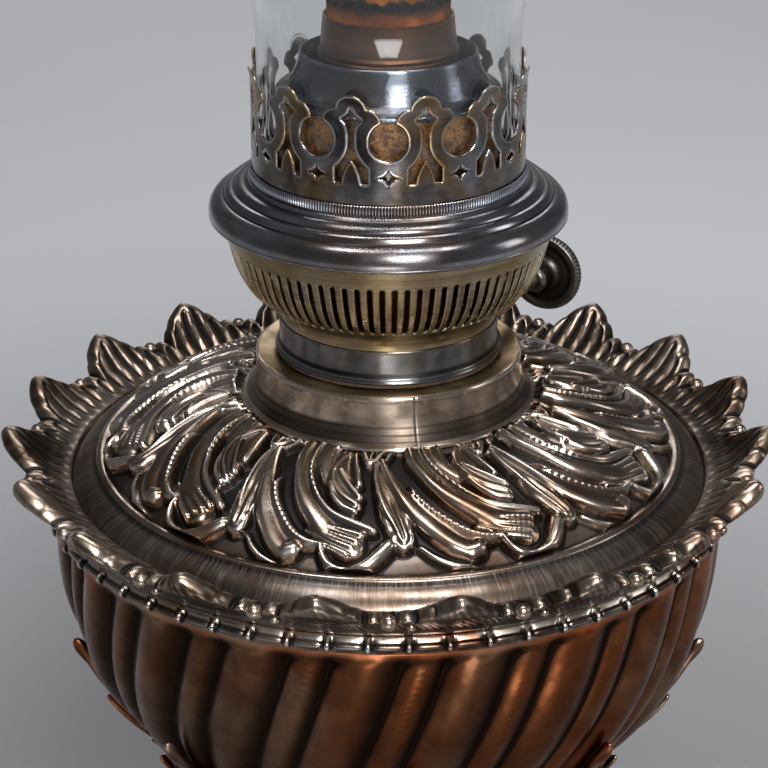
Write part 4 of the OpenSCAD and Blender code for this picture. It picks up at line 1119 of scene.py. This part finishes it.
def pierced(name, outer, inner, keep, body, material, **more):
    """Sheet with two faces, closed round the lamp, with a hole where a cell isn't kept."""
    rows, columns = outer.shape[:2]
    index = np.arange(rows * columns).reshape(rows, columns)
    after = np.roll(index, -1, 1)
    a, b, c, d = index[:-1], after[:-1], after[1:], index[1:]
    shift = rows * columns
    faces = [np.stack([a, b, c, d], -1)[keep], np.stack([d, c, b, a], -1)[keep] + shift]
    open_row = np.zeros((1, columns), bool)
    sides = ((a, b, np.vstack([open_row, keep[:-1]])), (c, d, np.vstack([keep[1:], open_row])),
             (b, c, np.roll(keep, -1, 1)), (d, a, np.roll(keep, 1, 1)))
    for p, q, beside in sides:
        edge = keep & ~beside
        faces.append(np.stack([q[edge], p[edge], p[edge] + shift, q[edge] + shift], -1))
    faces = np.vstack(faces)
    used, faces = np.unique(faces, return_inverse=True)
    points = np.vstack([outer.reshape(-1, 3), inner.reshape(-1, 3)])[used]
    return make_mesh(name, points, faces.reshape(-1, 4), body, material, **more)


SLOTS = 84
SLOT_W = 1.0


def air_basket():
    z0, h = BASKET_Z, BASKET_TOP - BASKET_Z
    outline = [(BASE_R - 0.3, 0), (BASE_R - 0.2, 1.4), (BASE_R + 0.4, 3), (BASE_R + 1.7, 4.2),
               (BASE_R + 3.5, 4.9), (BASE_R + 6.1, 7.2), ((BASE_R + BASKET_R) / 2 + 2.9, h * 0.53),
               (BASKET_R - 1.2, h * 0.74), (BASKET_R - 0.4, h * 0.9), (BASKET_R, h)]
    line = curve_through([(r, z0 + z) for r, z in outline], 120)
    slot_low, slot_high = z0 + 5.4, z0 + h - 4
    ends = [slot_low + d for d in (0, 0.06, 0.2, 0.42)] + [slot_high - d for d in (0, 0.06, 0.2, 0.42)]
    heights = np.unique(np.concatenate([line[:, 1], ends]))
    radii = np.interp(heights, line[:, 1], line[:, 0])
    normal = line_normals(np.stack([radii, heights], 1))
    from_end = np.minimum(heights - slot_low, slot_high - heights)
    slot_rows = from_end > -1e-6
    round_end = np.clip(from_end / (SLOT_W / 2), 0, 1)
    half = SLOT_W / 2 * np.where(slot_rows, np.clip(np.sqrt(1 - (1 - round_end) ** 2), 0.3, 1), 0.3)
    pitch = 360 / SLOTS
    edge_at = np.degrees(half / radii)[:, None]
    across = np.array([0, 0.16, 0.5])
    left = -pitch / 2 + (pitch / 2 - edge_at) * np.array([0, 0.5, 0.85, 1])
    middle = 0 * edge_at
    right = edge_at + (pitch / 2 - edge_at) * np.array([0, 0.15, 0.5])
    tile = np.hstack([left, middle, right])
    azimuth = np.hstack([tile + (i + 0.5) * pitch for i in range(SLOTS)])
    per = tile.shape[1]
    column = np.arange(SLOTS * per) % per
    in_slot = (column == 3) | (column == 4)
    rows_cut = slot_rows[:-1] & slot_rows[1:]
    keep = ~(rows_cut[:, None] & in_slot[None, :])
    at_edge = np.isin(column, (3, 5))[None, :] & slot_rows[:, None]
    rolled = 0.12 * at_edge
    depth = 0.5
    outer = round_points((radii + 0.0 * normal[:, 0])[:, None] - rolled, heights[:, None], azimuth)
    inner = round_points((radii - depth * normal[:, 0])[:, None] + rolled, (heights - depth * normal[:, 1])[:, None],
                         azimuth)
    pierced("basket_slotted", outer, inner, keep, "burner", burner_brass, replaced=["air_basket"],
            slot="burner_brass", wear=0.7)


def moulding(start, end, rise, steps=8):
    """Convex arc between two points of a profile, standing rise proud of the straight line."""
    (r0, z0), (r1, z1) = start, end
    length = math.hypot(r1 - r0, z1 - z0)
    out_r, out_z = -(z1 - z0) / length, (r1 - r0) / length
    return [(r0 + (r1 - r0) * t + rise * out_r * math.sin(math.pi * t) ** 0.8,
             z0 + (z1 - z0) * t + rise * out_z * math.sin(math.pi * t) ** 0.8) for t in np.linspace(0, 1, steps)]


def gallery_dish():
    """Turned dish: three round mouldings, each lower than the one inside it, and a skirt over the basket."""
    z, foot_r = KNURL_Z, 21.7
    shoulder = GALLERY_R + 0.7
    span = DISH_R - shoulder
    skirt_r = BASKET_R - 0.8
    low_z = low("gallery_dish")
    dish_z = low_z + 4
    foot = [(foot_r, z), (foot_r, z + 0.6), (GALLERY_R + 0.05, z + 0.6), (GALLERY_R + 0.05, z), (shoulder, z)]
    first = moulding((shoulder + span * 0.1, z - 0.7), (shoulder + span * 0.36, z - 1.6), 0.3)
    second = moulding((shoulder + span * 0.38, z - 2.0), (shoulder + span * 0.6, z - 3.0), 0.4)
    third = moulding((shoulder + span * 0.62, z - 3.4), (DISH_R - 0.05, z - 7.0), 0.95, 12)
    under = [(DISH_R - 0.15, dish_z + 0.9), (DISH_R, dish_z + 0.6), (DISH_R - 0.8, dish_z), (skirt_r, dish_z),
             (skirt_r - 1.1, low_z), (skirt_r - 1.7, low_z), (skirt_r - 0.6, dish_z + 0.6),
             (shoulder + span * 0.6, z - 4.6), (shoulder + span * 0.3, z - 2.6), (shoulder, z - 1)]
    line = spaced(rounded((foot + first + second + third + under)[::-1], 0.15, 2), 0.45)
    turned("dish_turned", line, "gallery_holder", dish_nickel, columns=720, cap=True,
           replaced=["gallery_dish"], slot="dish_nickel", wear=1.1)


KNURLS = 290


def knurled_ring():
    r_in, r_out = GALLERY_R + 0.1, GALLERY_R + 0.68
    z0, z1 = KNURL_Z, KNURL_TOP
    arc = [(r_out - 0.35 + 0.35 * math.cos(a), (z0 + z1) / 2 + (z1 - z0) / 2 * math.sin(a))
           for a in np.radians(np.linspace(-90, 90, 11))]

    def relief(azimuth, row, line):
        cut = 0.5 - 0.5 * np.cos(np.radians(azimuth) * KNURLS)
        return ((row >= 3) & (row <= 9)) * cut * -0.24 + 0 * azimuth

    turned("knurl_rolled", [(r_in, z0)] + arc + [(r_in, z1)], "gallery_holder", dish_nickel, columns=KNURLS * 6,
           relief=relief, cap=True, replaced=["knurled_ring"], slot="dish_nickel", wear=0.5)


ARCHES = 12


def gallery_shape(x, v):
    """Below 0 in the metal of the gallery; x runs from one keyhole's middle, v up from the knurled ring."""
    top = GALLERY_TOP - GALLERY_Z
    half = GALLERY_R * math.sin(math.pi / ARCHES)
    x = np.abs(x)
    from_arch = half - x
    arch = np.minimum(np.hypot(from_arch, v - (top - 3)) - 3, np.maximum(from_arch - 3, v - (top - 3)))
    shoulder = np.hypot(x - (half - 3.17), v - 16.1) - 2.62
    metal = np.minimum.reduce([v - 16.1, arch, shoulder])
    key = np.hypot(x, v - 12.4) - 3.7
    mouth = np.maximum.reduce([x - 1.15, 12.4 - v, v - 17.5])
    low_star = ((x / 1.9) ** 0.62 + (np.abs(v - 5.4) / 1.35) ** 0.62 - 1) * 0.8
    tab = np.maximum(from_arch - np.interp(v, [4.1, 5.8, 7.6, 8.8], [1.95, 1.64, 0.9, 0]), v - 8.8)
    fork = np.maximum.reduce([from_arch - 3.2, 4.1 - v, v - 12.4, 6.6 - np.hypot(x, v - 12.4), -tab])
    star_half = np.interp(v, [11.9, 14, 15.7, 16.6, 17.5, 18.8], [0.45, 0.45, 0.95, 1.9, 0.55, 0])
    slit = np.maximum.reduce([from_arch - star_half, 11.7 - v, v - 18.8])
    return np.maximum.reduce([metal, -key, -mouth, -low_star, -fork, -slit])


def gallery():
    """Pierced crown: a fine sheet whose points are drawn onto the outline of the holes."""
    z0 = GALLERY_Z - 1.7
    columns, cell = ARCHES * 66, 0.215
    v = np.arange(z0 - GALLERY_Z, GALLERY_TOP - GALLERY_Z + 0.2, cell)
    arc = 2 * math.pi * GALLERY_R / columns
    s = (np.arange(66) - 33) * arc
    grid_s, grid_v = np.meshgrid(s, v)
    for _ in range(3):
        f = gallery_shape(grid_s, grid_v)
        e = 0.02
        fs = (gallery_shape(grid_s + e, grid_v) - gallery_shape(grid_s - e, grid_v)) / (2 * e)
        fv = (gallery_shape(grid_s, grid_v + e) - gallery_shape(grid_s, grid_v - e)) / (2 * e)
        size = np.maximum(fs ** 2 + fv ** 2, 0.05)
        near = np.abs(f) / np.sqrt(size) < 0.56 * cell
        near[:, 0] = False
        grid_s = grid_s - np.where(near, f * fs / size, 0)
        grid_v = np.where(v[:, None] <= v[0] + 0.01, grid_v, grid_v - np.where(near, f * fv / size, 0))
    f = gallery_shape(grid_s, grid_v)
    degrees = np.degrees(grid_s / GALLERY_R)
    azimuth = np.hstack([degrees + i * 360 / ARCHES for i in range(ARCHES)])
    height = np.hstack([grid_v] * ARCHES)
    f = np.hstack([f] * ARCHES)
    after = np.roll(f, -1, 1)
    corner = np.stack([f[:-1], after[:-1], f[1:], after[1:]])
    keep = (corner.mean(0) < -0.01) & (corner.max(0) < 0.05)
    curl = 0.9 * smooth(height, 16.5, 22.5) ** 2
    wave = np.radians(azimuth)
    bent = 0.10 * np.sin(wave * 5 + 1) * smooth(height, 8, 20)
    edge = 1 - smooth(-f, 0.0, 0.22)
    r_out = GALLERY_R + curl + bent - 0.13 * edge
    r_in = GALLERY_R - 0.45 + curl + bent + 0.08 * edge
    pierced("gallery_pierced", round_points(r_out, height + GALLERY_Z, azimuth),
            round_points(r_in, height + GALLERY_Z, azimuth), keep, "gallery_holder", gallery_nickel,
            replaced=["gallery"], slot="gallery_nickel", wear=0.6)


def deflector():
    """Spun cap, and under its ledge a foot that is still lacquered."""
    r, foot_r, top = WICK_R + 5.4, WICK_R + 9.5, high("deflector")
    wall, ledge_z = 0.5, high("deflector") - 8.8
    cap = [(foot_r + 0.4, ledge_z), (foot_r + 1, ledge_z + 0.3), (foot_r + 0.9, ledge_z + 0.8),
           (foot_r - 0.6, ledge_z + 1.2), (r + 2.5, top - 6.7), (r + 1.3, top - 4.8), (r + 0.5, top - 2.6),
           (r, top - 0.3), (r - 0.4, top), (r - wall, top - 0.4), (r + 0.5 - wall, top - 2.8),
           (r + 1.3 - wall, top - 5), (r + 2.4 - wall, top - 7.1), (foot_r - 0.8 - wall, ledge_z + 0.6),
           (foot_r - wall, ledge_z)]
    turned("deflector_spun", spaced(rounded(cap, 0.3, 4), 0.4), "gallery_holder", deflector_nickel,
           columns=480, cap=True, replaced=["deflector"], slot="deflector_nickel", wear=0.8)
    foot_line = [(foot_r - wall, KNURL_Z - 2), (foot_r, KNURL_Z - 2), (foot_r, ledge_z - 0.05),
                 (foot_r - wall, ledge_z - 0.05)]
    turned("deflector_foot", spaced(np.array(foot_line), 0.5), "gallery_holder", old_lacquer, columns=240,
           cap=True, replaced=["deflector"], slot="deflector_nickel", wear=0.8)


def wick():
    """Woven sleeve with a burnt top, open at the back where the air duct passes."""
    direction = SHAFT_DIRECTION + 180
    z0, slit_top, half_slit = low("wick"), BASKET_Z + 27, 4.5
    z = np.concatenate([np.linspace(z0, slit_top, 40), np.arange(slit_top + 1.5, WICK_TOP - 14, 1.5),
                        np.arange(WICK_TOP - 14, WICK_TOP, 0.25)])
    columns = 288
    across = np.arange(columns) * 360 / columns
    azimuth = across[None, :] + direction + 0 * z[:, None]
    wave = np.radians(azimuth)
    up = z[:, None]
    fine = smooth(up, WICK_TOP - 15, WICK_TOP - 12)
    weave = fine * 0.16 * (np.sin(wave * 72 + np.pi * np.floor(up / 0.75)) * np.abs(np.sin(up * math.pi / 0.75)))
    loose = smooth(up, WICK_TOP - 4, WICK_TOP) * (0.22 * np.sin(wave * 17 + up) + 0.18 * np.sin(wave * 41 - up * 2))
    ragged = smooth(up, WICK_TOP - 2, WICK_TOP) * (0.35 * np.sin(wave * 9) + 0.3 * np.sin(wave * 23 + 1) - 0.6)
    outer = round_points(WICK_R - 0.15 + weave + loose, up + ragged, azimuth)
    inner = round_points(WICK_R - 2.1 + 0 * weave, up + ragged, azimuth)
    in_slit = np.minimum(across, 360 - across) < np.degrees(half_slit / WICK_R)
    keep = ~(in_slit[None, :] & (z[:-1, None] < slit_top - 0.1))
    pierced("wick_woven", outer, inner, keep, "wick", wick_cotton, replaced=["wick"], slot="cotton", wear=0.8)


winder = next(j for j in frame["joints"] if j["name"] == "winder_turn")
SHAFT_AXIS = np.array(winder["axis"])
SHAFT_FOOT = np.array(winder["pos_m"]) / MM
SHAFT_DIRECTION = math.degrees(math.atan2(SHAFT_AXIS[0], -SHAFT_AXIS[1]))


def winder_knob():
    """Turned knob with a milled edge, on the winder's shaft."""
    co = np.array([v.co for v in frame["nodes"]["winder_knob"].data.vertices]) / MM
    along = (co - SHAFT_FOOT) @ SHAFT_AXIS
    inner_end, outer_end = along.min(), along.max()
    half = 1.3
    middle = outer_end - 0.8 - half
    edge_r, knob_r = 6.9, 8.5
    line = [(0, inner_end - middle), (2.2, inner_end - middle), (2.8, inner_end - middle + 0.8), (2.8, -half - 1),
            (4.2, -half + 0.4), (edge_r - 0.8, -half + 0.6), (edge_r, -half), (knob_r - 0.5, -half),
            (knob_r, -0.6), (knob_r, 0.6), (knob_r - 0.5, half), (edge_r, half), (edge_r - 0.8, half - 0.6),
            (4.6, half - 0.55), (4.3, half - 0.2), (3.9, half - 0.5), (2.6, half - 0.5), (1.4, half + 0.5),
            (0, half + 0.8)]
    line = spaced(rounded(line, 0.3), 0.3)
    azimuth = np.arange(240) * 360 / 240
    milled = (line[:, :1] > knob_r - 0.25) * (-0.12 + 0.12 * np.cos(np.radians(azimuth) * 60))[None, :]
    local = round_points(line[:, :1] + milled, line[:, 1:], azimuth[None, :])
    side = np.array([SHAFT_AXIS[1], -SHAFT_AXIS[0], 0])
    up = np.array([0, 0, 1.0])
    points = SHAFT_FOOT + SHAFT_AXIS * (middle + local[..., 2:]) + side * local[..., :1] - up * local[..., 1:2]
    make_mesh("knob_turned", points.reshape(-1, 3), grid(len(line), len(azimuth), turn=False), "winder",
              knob_nickel, replaced=["winder_knob"], slot="knob_nickel", wear=0.8)


GLASS_R = GALLERY_R - 1.3
GLASS_WALL = 1.6


def chimney():
    """Blown glass: straight foot, bulge round the flame and long neck, with fire-rounded ends."""
    foot_len, bulge_len, swell_part, neck_r = 28.6, 78, 0.42, 19
    bulge_r = GLASS_R + 9

    def radius(s):
        if s < swell_part:
            return GLASS_R + (bulge_r - GLASS_R) * math.sin(math.pi / 2 * s / swell_part) ** 2
        fall = (1 - math.cos(math.pi * (s - swell_part) / (1 - swell_part))) / 2
        return bulge_r - (bulge_r - neck_r) * fall

    z0, z1 = CHIMNEY_Z, CHIMNEY_TOP
    middle = [(GLASS_R, z0 + 0.8), (GLASS_R, z0 + 8), (GLASS_R, z0 + 16), (GLASS_R, z0 + 24)]
    middle += [(radius(s), z0 + foot_len + bulge_len * s) for s in np.linspace(0, 1, 60)]
    middle += [(neck_r, z) for z in np.linspace(z0 + foot_len + bulge_len + 4, z1 - 0.8, 16)]
    middle = np.array(middle)
    normal = line_normals(middle)
    outer = middle - normal * 0
    inner = middle - normal * GLASS_WALL
    half = GLASS_WALL / 2
    low_end = [(GLASS_R - half - half * math.cos(a), z0 + half - half * math.sin(a)) for a in np.radians((30, 60, 90, 120, 150))]
    top_end = [(neck_r - half + half * math.cos(a), z1 - half + half * math.sin(a)) for a in np.radians((30, 60, 90, 120, 150))]
    line = np.vstack([outer, top_end, inner[::-1], low_end])
    turned("chimney_blown", line, "chimney", lamp_glass, columns=256, cap=True, replaced=["chimney"],
           slot="glass", wear=2)


font_collar()
burner_base()
air_basket()
gallery_dish()
knurled_ring()
gallery()
deflector()
wick()
winder_knob()
chimney()

# CAD nodes that keep their shape
KEPT = {
    "font_tank": bare_brass, "foot_weight": rough_iron, "tie_washer": bare_brass, "tie_nut": bare_brass,
    "tie_rod": bare_steel, "bowl_washer": bare_brass, "bowl_nut": bare_brass, "burner_gasket": gasket_cork_and_shade,
    "wick_tube": tube_nickel, "draught_tube": tube_nickel, "winder_cradle": burner_brass,
    "winder_bush": burner_brass, "winder_shaft": burner_brass, "spiked_wheels": bare_steel,
}
for node, material in KEPT.items():
    data = frame["nodes"][node].data
    data.materials.clear()
    data.materials.append(material)


# Stage, light and camera

def plain_surface(name, near, far):
    """Matt surface with painted shade round the lamp: a little darker there than further off."""
    n = Nodes(name)
    radius = n.polar()[1]
    colour = n.mix(n.ramp(radius, 0.15, 0.75), near, far)
    colour = n.mix(n.ramp(n.noise(3, 3), 0.3, 0.7, 0.0, 0.05), colour, srgb(160, 160, 160))
    n.shader(Base_Color=colour, Roughness=0.9)
    return n.material


def stage():
    """Pale table with a pale wall behind it."""
    # Painted shade: the floor darkens towards the lamp.
    material = plain_surface("backdrop", srgb(124, 124, 126), srgb(204, 205, 209))
    for name, size, place, turn in (("floor", 6, (0, 0, 0), 0), ("wall", 6, (0, 3, 0), math.pi / 2)):
        bpy.ops.mesh.primitive_plane_add(size=size, location=place, rotation=(turn, 0, 0))
        obj = bpy.context.object
        obj.name = name
        obj.data.materials.append(material)


def softbox(name, place, size, power, target=(0, 0, 0.22), spread=180):
    light = bpy.data.lights.new(name, "AREA")
    light.shape = "RECTANGLE"
    light.size, light.size_y = size
    light.energy = power
    light.spread = math.radians(spread)
    obj = bpy.data.objects.new(name, light)
    obj.visible_camera = False
    bpy.context.scene.collection.objects.link(obj)
    direction = np.array(target) - np.array(place)
    obj.location = place
    flat = math.hypot(direction[0], direction[1])
    obj.rotation_euler = (math.pi / 2 + math.atan2(direction[2], flat), 0,
                          math.atan2(-direction[0], direction[1]) if flat > 1e-6 else 0)
    return obj


def lights():
    softbox("key", (0.2, -0.93, 0.95), (0.36, 0.56), 8.4, spread=130)
    softbox("table_front", (0.0, -0.62, 0.01), (0.2, 0.34), 1.3, target=(0, -0.62, 1))
    softbox("right", (1.2, -0.1, 0.7), (0.3, 0.5), 1.6)
    softbox("top", (0.03, 0.0, 1.45), (0.26, 0.9), 10)
    softbox("table", (0, 1.9, 1.3), (1.2, 0.5), 8, target=(0, 1.5, 0))
    world = bpy.data.worlds.new("studio")
    bpy.context.scene.world = world
    world.use_nodes = True
    background = world.node_tree.nodes["Background"]
    background.inputs["Color"].default_value = (0.85, 0.87, 0.92, 1)
    background.inputs["Strength"].default_value = 0.15


def camera():
    """Fitted to the photo: 23.9 degrees down, from 420 mm in front of the lamp's axis."""
    data = bpy.data.cameras.new("camera")
    data.sensor_width = 36
    data.lens = 2200 / 768 * 36
    data.shift_x = -4.5 / 768
    data.clip_start = 0.01
    obj = bpy.data.objects.new("camera", data)
    obj.location = (0, -0.4195, 0.4077)
    obj.rotation_euler = (math.radians(90 - 23.9), 0, 0)
    bpy.context.scene.collection.objects.link(obj)
    bpy.context.scene.camera = obj


stage()
lights()
camera()
bpy.context.scene.view_settings.view_transform = "Standard"
